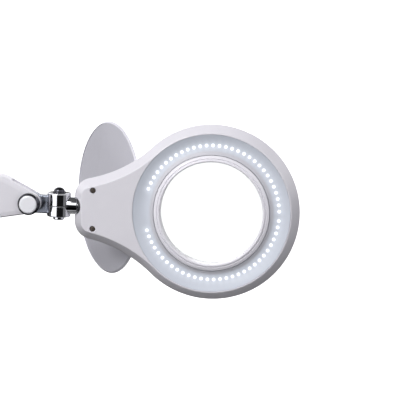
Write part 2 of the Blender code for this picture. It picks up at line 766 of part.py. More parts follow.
def raised_board(name, columns, rows, place, raised, height, thickness, parent):
    """A flat board on a grid, with the raised cells pulled up as parts soldered to it."""
    build = bmesh.new()
    top = [[build.verts.new(place(c, r, 0)) for r in rows] for c in columns]
    bottom = [[build.verts.new(place(c, r, -thickness)) for r in rows] for c in columns]
    last_column = len(columns) - 1
    last_row = len(rows) - 1
    lifted = []
    for i in range(last_column):
        for j in range(last_row):
            face = build.faces.new((top[i][j], top[i + 1][j], top[i + 1][j + 1], top[i][j + 1]))
            build.faces.new((bottom[i][j], bottom[i][j + 1], bottom[i + 1][j + 1], bottom[i + 1][j]))
            if raised(i, j):
                lifted.append(face)
    for i in range(last_column):
        for j in (0, last_row):
            build.faces.new((top[i][j], top[i + 1][j], bottom[i + 1][j], bottom[i][j]))
    for j in range(last_row):
        for i in (0, last_column):
            build.faces.new((top[i][j], top[i][j + 1], bottom[i][j + 1], bottom[i][j]))
    pulled = bmesh.ops.extrude_discrete_faces(build, faces=lifted)["faces"]
    for face in pulled:
        for vertex in face.verts:
            vertex.co.y -= height
    return solid(name, build, parent, BOARD)


def led_board(name, side, parent):
    """An arc of LEDs, above (side 1) or below (side -1) the head's long axis."""
    half_led = LED_SIDE / 2 / LED_RADIUS
    columns = [LED_FIRST - 2.5 * half_led]
    for number in range(LED_COUNT):
        middle = LED_FIRST + number * LED_PITCH
        columns += [middle - half_led, middle + half_led]
    columns.append(columns[-1] + 1.5 * half_led)
    rows = [BOARD_INNER_RADIUS, LED_RADIUS - LED_SIDE / 2, LED_RADIUS + LED_SIDE / 2, BOARD_OUTER_RADIUS]

    def place(angle, radius, rise):
        return (radius * cos(angle), depth(BOARD_FACE + rise), side * radius * sin(angle))

    def is_led(column, row):
        return row == 1 and column % 2 == 1

    return raised_board(name, columns, rows, place, is_led, LED_HEIGHT, BOARD_THICKNESS, parent)


def driver_board(parent):
    """The LED driver in the neck, behind the face, with the switch that the button presses."""
    middle = -BUTTON_BACK
    half_length = DRIVER_LENGTH / 2
    half_width = DRIVER_WIDTH / 2
    board = block(
        "driver_board",
        (middle - half_length, depth(DRIVER_FACE + BOARD_THICKNESS), -half_width),
        (middle + half_length, depth(DRIVER_FACE), half_width),
        parent,
        BOARD,
    )
    switch_top = -HEAD_DEPTH + HEAD_WALL + BUTTON_FLANGE + SWITCH_CLEARANCE
    switch = block(
        "driver_switch",
        (middle - SWITCH_HALF, depth(DRIVER_FACE + BOARD_THICKNESS / 2), -SWITCH_HALF),
        (middle + SWITCH_HALF, depth(switch_top), SWITCH_HALF),
        parent,
    )
    coil = rod(
        "driver_coil",
        SWITCH_HALF,
        depth(DRIVER_FACE + BOARD_THICKNESS / 2),
        depth(DRIVER_FACE - SWITCH_HALF),
        parent,
        axis="Y",
        centre=(middle + half_length - SWITCH_HALF - COIL_MARGIN, 0, half_width / 3),
        steps=SMALL_STEPS,
    )
    return fuse(board, switch, coil)


def power_button(parent):
    """The push button on the back of the neck, held in by its flange."""
    turning = axis_empty("power_button_axis", parent, (-BUTTON_BACK, 0, 0))
    outside = depth(-HEAD_DEPTH - BUTTON_PROUD)
    flange_top = depth(-HEAD_DEPTH + HEAD_WALL + GAP)
    flange_end = depth(-HEAD_DEPTH + HEAD_WALL + GAP + BUTTON_FLANGE)
    profile = [
        (BUTTON_RADIUS - BUTTON_PROUD / 3, outside),
        (BUTTON_RADIUS, outside - BUTTON_PROUD / 3),
        (BUTTON_RADIUS, flange_top),
        (BUTTON_RADIUS + BUTTON_FLANGE, flange_top),
        (BUTTON_RADIUS + BUTTON_FLANGE, flange_end),
    ]
    turned("power_button", profile, turning, DARK, axis="Y", steps=ROUND_STEPS)


def stem_bush(parent):
    """The friction sleeve in the neck, held between the two housing halves."""
    start = -NECK_END + NECK_CORNER_RADIUS - BUSH_LENGTH + GAP
    outer = HEAD_DEPTH / 2 - HEAD_WALL - GAP
    return tube(
        "stem_bush",
        STEM_SHAFT_RADIUS + GAP,
        outer,
        start,
        start + BUSH_LENGTH,
        parent,
        DARK,
        axis="X",
        steps=ROUND_STEPS,
    )


def build_head(parent):
    """Everything that is fixed to the head's housing."""
    front_housing(parent)
    back_housing(parent)
    lens_bezel(parent)
    diffuser_ring(parent)
    magnifier_lens(parent)
    lens_gasket(parent)
    led_board("led_board_upper", 1, parent)
    led_board("led_board_lower", -1, parent)
    driver_board(parent)
    stem_bush(parent)
    power_button(parent)
    for label, (x, z) in zip(("upper", "lower"), housing_screw_places()):
        tip = depth(-HEAD_DEPTH + 3 * HEAD_WALL)
        screw("housing_screw_" + label, depth(-SCREW_RECESS), tip, parent, x, z)


def lens_cover(head):
    """The disc cover, open on its hinge behind the head."""
    hinge = (-COVER_HINGE_BACK, depth(COVER_HINGE_PLANE), 0)
    turning = axis_empty("cover_axis", head, hinge, turn_about_z=COVER_OPEN)
    inner = -GAP
    profile = [
        (COVER_RADIUS, inner),
        (COVER_RADIUS, inner + COVER_THICKNESS - COVER_BEVEL),
        (COVER_RADIUS - COVER_BEVEL, inner + COVER_THICKNESS),
    ]
    middle = (COVER_HINGE_BACK, 0, 0)
    disc = turned("lens_cover", profile, turning, WHITE, axis="Y", centre=middle, steps=RING_STEPS)
    chord = COVER_CHORD_INSET
    cut(disc, block("cover_chord", (-CUT, -CUT, -COVER_RADIUS), (chord, CUT, COVER_RADIUS), turning))
    tab = block(
        "cover_tab",
        (0, inner, -HINGE_KNUCKLE),
        (2 * chord, inner + COVER_THICKNESS - GAP, HINGE_KNUCKLE),
        turning,
    )
    knuckle = rod("cover_knuckle", HINGE_RADIUS, -HINGE_KNUCKLE, HINGE_KNUCKLE, turning, steps=SMALL_STEPS)
    bore = rod("cover_bore", HINGE_PIN_RADIUS + GAP, -2 * HINGE_KNUCKLE, 2 * HINGE_KNUCKLE, turning, steps=SMALL_STEPS)
    cut(fuse(disc, tab, knuckle), bore)
    pin_end = HINGE_KNUCKLE + 2 * GAP + HINGE_LUG
    rod("cover_hinge_pin", HINGE_PIN_RADIUS, -pin_end, pin_end, turning, STEEL, steps=SMALL_STEPS)


# ---------------------------------------------------------------- swivel joint


def swivel_stem(head):
    """The chrome stem and the lower half of the barrel, with the collar that keeps it in the neck."""
    stem_axis = axis_empty("head_roll_axis", head, (-SWIVEL_BACK, 0, 0))
    lower_top = SPLIT_HEIGHT - SPLIT_WASHER / 2 - GAP
    barrel = rod("swivel_stem", BARREL_RADIUS, BARREL_BOTTOM, lower_top, stem_axis, CHROME, steps=ROUND_STEPS)
    shoulder = SWIVEL_BACK - NECK_END - NECK_CORNER_RADIUS / 2
    shaft_end = SWIVEL_BACK - NECK_END + NECK_CORNER_RADIUS + COLLAR_LENGTH + 2 * GAP
    profile = [(STEM_RADIUS, 0), (STEM_RADIUS, shoulder), (STEM_SHAFT_RADIUS, shoulder), (STEM_SHAFT_RADIUS, shaft_end)]
    stem = turned("stem_bar", profile, stem_axis, axis="X", steps=ROUND_STEPS)
    keep_clear = rod("upper_barrel_room", BARREL_RADIUS + 2 * GAP, lower_top, CUT, stem_axis, steps=ROUND_STEPS)
    cut(stem, keep_clear)
    bore = rod("lower_barrel_bore", BARREL_BORE, -CUT, CUT, stem_axis, steps=SMALL_STEPS)
    cut(fuse(barrel, stem), bore)
    tube(
        "stem_collar",
        STEM_SHAFT_RADIUS + GAP,
        STEM_SHAFT_RADIUS + GAP + COLLAR_WALL,
        shaft_end - COLLAR_LENGTH,
        shaft_end,
        stem_axis,
        STEEL,
        axis="X",
        steps=SMALL_STEPS,
    )


def link_outline(inset):
    """The flat link as (x, z): a round eye over the tilt axis, square towards the barrel."""
    radius = ARM_TIP_RADIUS - inset
    top = LINK_HALF_HEIGHT - LINK_DROP - inset
    bottom = -LINK_HALF_HEIGHT - LINK_DROP + inset
    eye = arc((0, 0), radius, asin(top / radius), 2 * pi + asin(bottom / radius), 18)
    return eye + [(LINK_LENGTH - inset, bottom), (LINK_LENGTH - inset, top)]


def swivel_link(tilt_axis):
    """The flat link with the upper half of the barrel, and the bolt, washer and nut through both halves."""
    half = EYE_THICKNESS / 2
    layers = [
        (-half, link_outline(LINK_BEVEL)),
        (-half + LINK_BEVEL, link_outline(0)),
        (half - LINK_BEVEL, link_outline(0)),
        (half, link_outline(LINK_BEVEL)),
    ]
    link = loft("swivel_link", layers, tilt_axis, BLUE_GREY)
    barrel_place = (LINK_LENGTH, 0, -LINK_DROP)
    at_barrel = {"centre": barrel_place, "steps": ROUND_STEPS}
    upper_bottom = SPLIT_HEIGHT + SPLIT_WASHER / 2 + GAP
    clear = rod("lower_barrel_room", BARREL_RADIUS + 2 * GAP, -CUT, upper_bottom, tilt_axis, **at_barrel)
    barrel = rod("upper_barrel", BARREL_RADIUS, upper_bottom, BARREL_TOP, tilt_axis, **at_barrel)
    bore = rod("upper_barrel_bore", BARREL_BORE, -CUT, CUT, tilt_axis, **at_barrel)
    eye_bore = rod("link_bore", BOLT_RADIUS + GAP, -CUT, CUT, tilt_axis, axis="Y", steps=SMALL_STEPS)
    cut(fuse(cut(link, clear), barrel), bore, eye_bore)
    half_washer = SPLIT_WASHER / 2
    tube(
        "swivel_washer",
        BARREL_BORE,
        BARREL_RADIUS,
        SPLIT_HEIGHT - half_washer,
        SPLIT_HEIGHT + half_washer,
        tilt_axis,
        STEEL,
        **at_barrel,
    )
    flange = BARREL_TOP + GAP
    shank = BARREL_BORE - GAP
    dome_base = flange + DOME_FLANGE
    end = BARREL_BOTTOM - GAP - NUT_HEIGHT
    profile = [
        (shank, end),
        (shank, flange),
        (DOME_FLANGE_RADIUS, flange),
        (DOME_FLANGE_RADIUS, dome_base),
        (DOME_RADIUS, dome_base),
    ]
    for step in range(1, 5):
        angle = pi / 2 * step / 5
        profile.append((DOME_RADIUS * cos(angle), dome_base + DOME_HEIGHT * sin(angle)))
    turned("swivel_bolt", profile, tilt_axis, CHROME, centre=barrel_place, steps=ROUND_STEPS)
    tube(
        "swivel_nut",
        BARREL_BORE,
        DOME_RADIUS,
        end + GAP,
        BARREL_BOTTOM - GAP,
        tilt_axis,
        CHROME,
        centre=barrel_place,
        steps=SMALL_STEPS,
    )


# ---------------------------------------------------------------- base and clamp


def base_fork(parent):
    """The metal fork at the foot of the lower arm, on its swivel post."""
    outline = fork_outline()
    half = ARM_DEPTH / 2
    fork = loft("base_fork", [(-half, outline), (half, outline)], parent, CHROME)
    cheek = EYE_THICKNESS / 2 + RUNNING_GAP
    slot = block("fork_slot", (-CUT * 2, -cheek, -FORK_FLOOR_DROP), (CUT * 2, cheek, CUT * 2), parent)
    hole = rod("fork_hole", BOLT_RADIUS + GAP, -CUT, CUT, parent, axis="Y", steps=SMALL_STEPS)
    foot_top = -FORK_FLOOR_DROP - GAP
    post_end = BOSS_BORE_FLOOR + GAP - BASE_PIVOT_HEIGHT
    profile = [
        (FORK_FOOT_RADIUS, foot_top),
        (FORK_FOOT_RADIUS, -FORK_BASE_DROP),
        (POST_RADIUS, -FORK_BASE_DROP),
        (POST_RADIUS, post_end),
    ]
    post = turned("fork_post", profile, parent, steps=ROUND_STEPS)
    return cut(fuse(fork, post), slot, hole)


def fork_outline():
    """The fork's cheeks seen from the side, as (x, z): round over the pivot and square at the foot."""
    radius = ARM_TIP_RADIUS + ARM_WALL / 2
    foot = -FORK_BASE_DROP + GAP
    top = arc((0, 0), radius, 0, pi, 14)
    return top + [(-radius, foot), (radius, foot)]


def clamp_body(parent):
    """The C-shaped frame with the boss that the fork's post turns in."""
    jaw_bottom = JAW_PAD + GAP
    jaw_top = jaw_bottom + JAW_THICKNESS
    inner = CLAMP_BACK + CLAMP_SPINE
    lower_reach = JAW_REACH - LOWER_JAW_STEP
    outline = [
        (JAW_REACH, jaw_bottom),
        (JAW_REACH, jaw_top),
        (CLAMP_BACK, jaw_top),
        (CLAMP_BACK, -THROAT - LOWER_JAW),
        (lower_reach, -THROAT - LOWER_JAW),
        (lower_reach, -THROAT),
        (inner, -THROAT),
        (inner, jaw_bottom),
    ]
    half = CLAMP_WIDTH / 2
    body = loft("clamp_body", [(-half, outline), (half, outline)], parent, WHITE)
    boss = rod("clamp_boss", BOSS_RADIUS, jaw_bottom + JAW_THICKNESS / 2, BOSS_TOP, parent, steps=ROUND_STEPS)
    bore_radius = POST_RADIUS + POST_BUSH_WALL + 2 * GAP
    bore = rod("clamp_boss_bore", bore_radius, BOSS_BORE_FLOOR, BOSS_TOP + CUT, parent, steps=ROUND_STEPS)
    thread = rod("clamp_thread", CLAMP_SCREW_RADIUS + GAP, -2 * THROAT, -THROAT / 2, parent, steps=SMALL_STEPS)
    cut(fuse(body, boss), bore, thread)
    tube(
        "post_bush",
        POST_RADIUS + GAP,
        POST_RADIUS + POST_BUSH_WALL + GAP,
        BOSS_BORE_FLOOR + GAP,
        BOSS_TOP,
        parent,
        DARK,
        steps=ROUND_STEPS,
    )
    side = half - JAW_PAD_MARGIN
    block("jaw_pad", (inner + GAP, -side, 0), (JAW_REACH - JAW_PAD_MARGIN, side, JAW_PAD), parent, DARK)


def clamp_screw(parent):
    """The screw with its T-handle, and the pad on its ball end."""
    feed = axis_empty("clamp_feed_axis", parent, (0, 0, PAD_TOP))
    pad = [
        (0.9 * PAD_RADIUS, 0),
        (PAD_RADIUS, -0.25 * PAD_THICKNESS),
        (PAD_RADIUS, -PAD_THICKNESS / 2),
        (0.6 * PAD_RADIUS, -PAD_THICKNESS),
    ]
    turned("clamp_pad", pad, feed, DARK, steps=ROUND_STEPS)
    turning = axis_empty("clamp_screw_axis", feed)
    top = -PAD_THICKNESS - GAP
    end = SCREW_END - PAD_TOP
    hub = 2.4 * HANDLE_RADIUS
    profile = [
        (0.7 * CLAMP_SCREW_RADIUS, top),
        (CLAMP_SCREW_RADIUS, top - CLAMP_SCREW_TAPER),
        (CLAMP_SCREW_RADIUS, end + 2 * hub),
        (hub, end + 1.7 * hub),
        (hub, end),
    ]
    shank = turned("clamp_screw", profile, turning, CHROME, steps=ROUND_STEPS)
    across = {"axis": "X", "centre": (0, 0, end + hub), "steps": SMALL_STEPS}
    cut(shank, rod("handle_hole", HANDLE_RADIUS + GAP, -CUT, CUT, turning, **across))
    knob = 1.6 * HANDLE_RADIUS
    handle = [
        (0.8 * knob, -HANDLE_HALF),
        (knob, -HANDLE_HALF + knob / 2),
        (knob, -HANDLE_HALF + knob),
        (HANDLE_RADIUS, -HANDLE_HALF + 1.2 * knob),
        (HANDLE_RADIUS, HANDLE_HALF - 1.2 * knob),
        (knob, HANDLE_HALF - knob),
        (knob, HANDLE_HALF - knob / 2),
        (0.8 * knob, HANDLE_HALF),
    ]
    turned("clamp_handle", handle, turning, CHROME, **across)


def dc_inlet(parent, rear_shell):
    """The low-voltage socket in the rear of the lower arm, near its foot."""
    outer = ARM_DEPTH / 2
    where = {"axis": "Y", "centre": (INLET_BACK, 0, -INLET_DROP), "steps": SMALL_STEPS}
    cut(rear_shell, rod("inlet_hole", INLET_RADIUS + GAP, outer / 3, 2 * outer, parent, **where))
    profile = [
        (INLET_BORE, outer / 3),
        (INLET_RADIUS, outer / 3),
        (INLET_RADIUS, outer + GAP),
        (INLET_RADIUS + INLET_FLANGE, outer + GAP),
        (INLET_RADIUS + INLET_FLANGE, outer + INLET_FLANGE),
        (INLET_BORE, outer + INLET_FLANGE),
    ]
    turned("dc_inlet", profile, parent, DARK, hollow=True, **where)


def build_lamp():
    """The whole lamp, each moving body under an empty on its axis."""
    clamp = axis_empty("clamp_axis")
    clamp_body(clamp)
    clamp_screw(clamp)
    base = axis_empty("base_swivel_axis", clamp, (0, 0, BASE_PIVOT_HEIGHT))
    base_fork(base)
    pivot_hardware("base", base, (0, 0, 0), ARM_DEPTH / 2, ARM_DEPTH / 2)
    lower_turn = -(pi / 2 - LOWER_ARM_LEAN)
    lower_arm = axis_empty("lower_arm_axis", base, turn_about_y=lower_turn)
    _, lower_rear = build_arm("lower_arm", LOWER_ARM_LENGTH, lower_arm)
    dc_inlet(lower_arm, lower_rear)
    elbow = (LOWER_ARM_LENGTH, 0, 0)
    pivot_hardware("elbow", lower_arm, elbow, ARM_DEPTH / 2, ARM_DEPTH / 2)
    forearm = axis_empty("forearm_axis", lower_arm, elbow, turn_about_y=FOREARM_DROP - lower_turn)
    build_arm("forearm", FOREARM_LENGTH, forearm)
    tip = (FOREARM_LENGTH, 0, 0)
    pivot_hardware("tilt", forearm, tip, ARM_DEPTH / 2, ARM_DEPTH / 2)
    tilt = axis_empty("head_tilt_axis", forearm, tip, turn_about_y=-FOREARM_DROP)
    swivel_link(tilt)
    head = axis_empty("head_axis", tilt, (LINK_LENGTH + SWIVEL_BACK, 0, -LINK_DROP))
    swivel_stem(head)
    build_head(head)
    lens_cover(head)


clear_scene()
build_lamp()
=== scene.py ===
"""The looks of a clamp-on magnifying lamp: moulded head, frosted LED ring, chrome joint, arms and clamp."""

import json
import logging
import math
from dataclasses import dataclass, field
from enum import Enum
from typing import Any, Callable, Iterable, Sequence

import bpy
import numpy as np
from mathutils import Matrix, Vector

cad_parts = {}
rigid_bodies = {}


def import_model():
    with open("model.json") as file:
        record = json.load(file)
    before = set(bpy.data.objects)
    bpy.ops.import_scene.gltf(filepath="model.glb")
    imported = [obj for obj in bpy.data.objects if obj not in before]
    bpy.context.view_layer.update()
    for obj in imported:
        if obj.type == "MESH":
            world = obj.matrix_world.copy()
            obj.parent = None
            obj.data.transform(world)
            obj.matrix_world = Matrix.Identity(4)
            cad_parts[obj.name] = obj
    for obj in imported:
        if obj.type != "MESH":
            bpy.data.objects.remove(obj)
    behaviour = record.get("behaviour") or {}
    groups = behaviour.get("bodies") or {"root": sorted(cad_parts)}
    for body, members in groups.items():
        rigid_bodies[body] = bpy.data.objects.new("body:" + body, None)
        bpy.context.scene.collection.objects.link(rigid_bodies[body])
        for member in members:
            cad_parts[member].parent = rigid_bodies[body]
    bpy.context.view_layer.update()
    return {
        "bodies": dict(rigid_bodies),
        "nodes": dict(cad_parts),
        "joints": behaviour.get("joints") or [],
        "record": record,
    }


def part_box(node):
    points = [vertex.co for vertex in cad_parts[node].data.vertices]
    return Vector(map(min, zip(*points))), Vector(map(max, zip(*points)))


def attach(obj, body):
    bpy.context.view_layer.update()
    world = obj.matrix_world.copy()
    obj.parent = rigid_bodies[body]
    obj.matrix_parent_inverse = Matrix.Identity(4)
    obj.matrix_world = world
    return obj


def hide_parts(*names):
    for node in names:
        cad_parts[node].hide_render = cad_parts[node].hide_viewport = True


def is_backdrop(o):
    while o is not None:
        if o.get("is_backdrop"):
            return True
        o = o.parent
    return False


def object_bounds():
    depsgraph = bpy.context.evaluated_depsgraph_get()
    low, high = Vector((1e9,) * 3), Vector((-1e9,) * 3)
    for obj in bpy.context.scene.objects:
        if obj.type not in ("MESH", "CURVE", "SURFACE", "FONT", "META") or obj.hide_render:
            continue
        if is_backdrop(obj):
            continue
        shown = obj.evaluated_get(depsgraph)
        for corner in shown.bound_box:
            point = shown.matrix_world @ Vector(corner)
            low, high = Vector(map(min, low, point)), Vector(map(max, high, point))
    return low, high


MM = 0.001
POLE = 0.02 * MM  # the radius left where a turned piece closes on its own axis
PIVOT_WAY = 4.3 * MM  # the radius of every hole that a pivot bolt passes
PAST = 20 * MM  # how far a cutting helper reaches past what it cuts
LOG = logging.getLogger("magnifying_lamp")
Array = np.ndarray
Corner = tuple[float, float, float]

# ---------------------------------------------------------------- surfaces


class Axis(Enum):
    """Which local axis a turned piece spins about."""

    ALONG = "x"
    ACROSS = "y"
    UP = "z"


@dataclass(frozen=True)
class Place:
    """A local frame: where a piece's own x, y and z lie in the lamp's frame."""

    origin: Array
    x: Array = field(default_factory=lambda: np.array([1.0, 0.0, 0.0]))
    y: Array = field(default_factory=lambda: np.array([0.0, 1.0, 0.0]))

    @property
    def z(self) -> Array:
        """The third axis, square to the other two."""
        return np.cross(self.x, self.y)

    def world(self, points: Array) -> Array:
        """Carries local points into the lamp's frame.

        Args:
            points: Local points, with x, y and z last.

        Returns:
            The same points: origin + x times the x axis + y times the y axis + z times the z axis.
        """
        return self.origin + points @ np.stack([self.x, self.y, self.z])

    def moved(self, x: float = 0.0, y: float = 0.0, z: float = 0.0) -> "Place":
        """The same frame with its origin moved along its own axes."""
        return Place(self.world(np.array([x, y, z])), self.x, self.y)


def arc(centre: Sequence[float], radius: float, start: float, end: float, count: int) -> Array:
    """Points on a circle's arc.

    Args:
        centre: The circle's centre.
        radius: Its radius.
        start: First angle, in radians.
        end: Last angle, in radians.
        count: How many points, both ends included.

    Returns:
        count points: centre + radius times (cosine, sine) of evenly spaced angles.
    """
    turn = np.linspace(start, end, count)
    return np.asarray(centre) + radius * np.stack([np.cos(turn), np.sin(turn)], axis=1)


def rounded(corners: Sequence[Corner], closed: bool = True, steps: int = 5) -> Array:
    """A profile whose corners are rounded.

    Each corner (x, y, r) becomes the arc of radius r that touches both of its sides; a corner with r of
    nought stays sharp. The arc's centre lies on the corner's bisector, r / sin(half angle) away.

    Args:
        corners: The corners in order, each with its fillet radius.
        closed: Whether the last corner joins the first.
        steps: Facets in each fillet.

    Returns:
        The profile's points.
    """
    spots = np.array([(x, y) for x, y, _ in corners], float)
    count = len(corners)
    parts: list[Array] = []
    for index, (_, _, radius) in enumerate(corners):
        here = spots[index]
        at_end = not closed and index in (0, count - 1)
        if radius <= 0 or at_end:
            parts.append(here[None])
            continue
        back = spots[index - 1] - here
        on = spots[(index + 1) % count] - here
        back_length, on_length = np.linalg.norm(back), np.linalg.norm(on)
        back, on = back / back_length, on / on_length
        half = math.acos(float(np.clip(back @ on, -1, 1))) / 2
        reach = min(radius / math.tan(half), 0.49 * back_length, 0.49 * on_length)
        radius = reach * math.tan(half)
        middle = here + (back + on) / np.linalg.norm(back + on) * radius / math.sin(half)
        first, last = here + back * reach - middle, here + on * reach - middle
        start = math.atan2(first[1], first[0])
        sweep = (math.atan2(last[1], last[0]) - start + math.pi) % (2 * math.pi) - math.pi
        parts.append(arc(middle, radius, start, start + sweep, steps + 1))
    return np.concatenate(parts)


def turned(profile: Array, axis: Axis = Axis.UP, segments: int = 96) -> Array:
    """A profile turned about an axis.

    The point (radius, height) at angle a lies at radius times (cos a, sin a) across the axis and at height
    along it.

    Args:
        profile: Rows of (radius, height).
        axis: The axis it turns about.
        segments: Columns round the turn.

    Returns:
        A grid of local points, one row for each profile point.
    """
    turn = np.linspace(0, 2 * math.pi, segments, endpoint=False)
    across = profile[:, :1] * np.cos(turn)
    beside = profile[:, :1] * np.sin(turn)
    along = np.broadcast_to(profile[:, 1:2], across.shape)
    order = {
        Axis.UP: (across, beside, along),
        Axis.ACROSS: (beside, along, across),
        Axis.ALONG: (along, across, beside),
    }
    return np.stack(order[axis], axis=-1)


def loft(layers: Iterable[tuple[Array, float]]) -> Array:
    """Outlines stacked along y.

    Args:
        layers: Each layer's (x, z) points with the depth y they stand at.

    Returns:
        A grid of local points, one row for each layer.
    """
    rows = [np.stack([line[:, 0], np.full(len(line), y), line[:, 1]], axis=1) for line, y in layers]
    return np.stack(rows)


def skin(
    name: str,
    grid: Array,
    place: Place,
    ring: bool = False,
    sharp: float = 32.0,
) -> bpy.types.Object:
    """Turns a grid of points that closes along its columns into a mesh object.

    Quads join each row to the next; the last row joins the first if the section is a ring, and flat
    faces close both ends otherwise. The faces are turned outwards from the sign of the enclosed volume.

    Args:
        name: The object's name.
        grid: Local points, rows by columns by 3.
        place: The frame the points are in.
        ring: Whether the rows close too.
        sharp: Edges steeper than this many degrees stay crisp.

    Returns:
        The object, at the origin with its place in its mesh.
    """
    rows, columns = grid.shape[:2]
    points = place.world(grid.reshape(-1, 3))
    number = np.arange(rows * columns).reshape(rows, columns)
    lower = number if ring else number[:-1]
    upper = np.roll(number, -1, axis=0) if ring else number[1:]
    quads = np.stack(
        [lower, np.roll(lower, -1, axis=1), np.roll(upper, -1, axis=1), upper], axis=-1
    ).reshape(-1, 4)
    corner = points[quads]
    volume = np.einsum("ij,ij->i", corner[:, 0], np.cross(corner[:, 1], corner[:, 2])).sum()
    volume += np.einsum("ij,ij->i", corner[:, 0], np.cross(corner[:, 2], corner[:, 3])).sum()
    caps = [] if ring else [number[0][::-1], number[-1]]
    for cap in caps:
        fan = points[cap]
        volume += np.einsum("j,ij->i", fan[0], np.cross(fan[1:-1], fan[2:])).sum()
    if volume < 0:
        quads = quads[:, ::-1]
        caps = [cap[::-1] for cap in caps]
    mesh = bpy.data.meshes.new(name)
    mesh.from_pydata(points.tolist(), [], quads.tolist() + [cap.tolist() for cap in caps])
    mesh.update()
    thing = bpy.data.objects.new(name, mesh)
    bpy.context.scene.collection.objects.link(thing)
    soften(thing, sharp)
    return thing


def soften(thing: bpy.types.Object, sharp: float) -> None:
    """Shades a piece smooth, with its steep edges kept crisp.

    Args:
        thing: The piece.
        sharp: Edges steeper than this many degrees stay crisp.
    """
    thing.data.shade_smooth()
    thing.data.set_sharp_from_angle(angle=math.radians(sharp))


def shaped(
    body: bpy.types.Object,
    add: Sequence[bpy.types.Object] = (),
    take: Sequence[bpy.types.Object] = (),
    sharp: float = 32.0,
) -> bpy.types.Object:
    """Joins and cuts a piece with helpers, which are then removed.

    Args:
        body: The piece.
        add: Helpers joined to it first.
        take: Helpers cut from it afterwards.
        sharp: Edges steeper than this many degrees stay crisp.

    Returns:
        The piece, with the result as its own mesh.
    """
    for helpers, operation in ((add, "UNION"), (take, "DIFFERENCE")):
        for helper in helpers:
            step = body.modifiers.new(helper.name, "BOOLEAN")
            step.operation = operation
            step.object = helper
            step.solver = "EXACT"
    graph = bpy.context.evaluated_depsgraph_get()
    made = bpy.data.meshes.new_from_object(body.evaluated_get(graph))
    body.modifiers.clear()
    body.data = made
    for helper in (*add, *take):
        bpy.data.objects.remove(helper)
    soften(body, sharp)
    return body


def plate(
    name: str, outline: Callable[[float], Array], half: float, edge: float, steps: int, place: Place
) -> bpy.types.Object:
    """A flat piece whose edges are rounded all the way round.

    Each layer is the outline drawn in by edge times (1 - sine) and raised by edge times (1 - cosine) of an
    angle that runs through a quarter turn.

    Args:
        name: The object's name.
        outline: Gives the outline's (x, z) points for an inset, always the same count.
        half: Half its depth along y.
        edge: The radius of its edges.
        steps: Facets in each edge.
        place: The frame it is in.

    Returns:
        The piece.
    """
    turn = np.linspace(0, math.pi / 2, steps + 1)
    inset, rise = edge * (1 - np.sin(turn)), edge * (1 - np.cos(turn))
    layers = [(outline(i), -half + r) for i, r in zip(inset, rise)]
    layers += [(outline(i), half - r) for i, r in zip(inset[::-1], rise[::-1])]
    return skin(name, loft(layers), place)


def block(
    name: str, low: Sequence[float], high: Sequence[float], place: Place, edge: float = 0.0
) -> bpy.types.Object:
    """A box between two corners.

    Args:
        name: The object's name.
        low: Its lowest local corner.
        high: Its highest local corner.
        place: The frame the corners are in.
        edge: The radius that rounds its four edges along y.

    Returns:
        The box.
    """
    left, right, under, over = low[0], high[0], low[2], high[2]
    outline = rounded([(left, under, edge), (right, under, edge), (right, over, edge), (left, over, edge)])
    return skin(name, loft([(outline, low[1]), (outline, high[1])]), place)


def bar(
    name: str, radius: float, start: float, end: float, place: Place, axis: Axis, segments: int = 64
) -> bpy.types.Object:
    """A plain round bar, for cutting and joining.

    Args:
        name: The object's name.
        radius: Its radius.
        start: Where it starts along its axis.
        end: Where it ends.
        place: The frame it is in.
        axis: Which local axis it lies along.
        segments: Its facets.

    Returns:
        The bar.
    """
    return skin(name, turned(np.array([(radius, start), (radius, end)]), axis, segments), place)


def belt(circles: Sequence[tuple[float, float]], count: int = 20) -> Array:
    """The outline round circles that stand in a row along x, as a belt would run.

    Between circles of radius r1 and r2 whose centres are d apart, the belt leaves each at the angle whose
    cosine is (r1 - r2) / d.

    Args:
        circles: (x, radius) of each, from the left.
        count: Points on each arc.

    Returns:
        The closed outline's (x, z) points.
    """
    leans = [math.acos((r - s) / (x2 - x1)) for (x1, r), (x2, s) in zip(circles, circles[1:])]
    starts, ends = [math.pi, *leans], [*leans, 0.0]
    upper = np.concatenate([arc((x, 0), r, a, b, count) for (x, r), a, b in zip(circles, starts, ends)])
    return np.concatenate([upper, (upper[1:-1] * [1, -1])[::-1]])


# ---------------------------------------------------------------- finishes


def linear(code: str) -> tuple[float, float, float, float]:
    """Turns an sRGB hex colour into a linear one.

    Args:
        code: The colour, as #rrggbb.

    Returns:
        Linear red, green and blue, and an alpha of one.
    """
    shares = [int(code[i : i + 2], 16) / 255 for i in (1, 3, 5)]
    red, green, blue = [s / 12.92 if s <= 0.04045 else ((s + 0.055) / 1.055) ** 2.4 for s in shares]
    return red, green, blue, 1.0


def socket(sockets: Any, key: str) -> Any:
    """Finds a socket.

    Args:
        sockets: A node's inputs or outputs.
        key: The socket's identifier, or its name.

    Returns:
        The socket, or None.
    """
    by_identifier = next((s for s in sockets if s.identifier == key), None)
    return by_identifier or next((s for s in sockets if s.name == key), None)


def add(
    tree: Any, kind: str, values: dict[str, Any] | None = None, links: dict[str, Any] | None = None
) -> Any:
    """Adds a shader node.

    Args:
        tree: The node tree.
        kind: The node's type.
        values: Sockets or settings to set, by name.
        links: Sockets to link from, by the name of the input they feed.

    Returns:
        The node.
    """
    node = tree.nodes.new(kind)
    for key, value in (values or {}).items():
        found = socket(node.inputs, key)
        if found is None or hasattr(type(node), key):
            setattr(node, key, value)
        else:
            found.default_value = value
    for key, source in (links or {}).items():
        tree.links.new(source, socket(node.inputs, key))
    return node


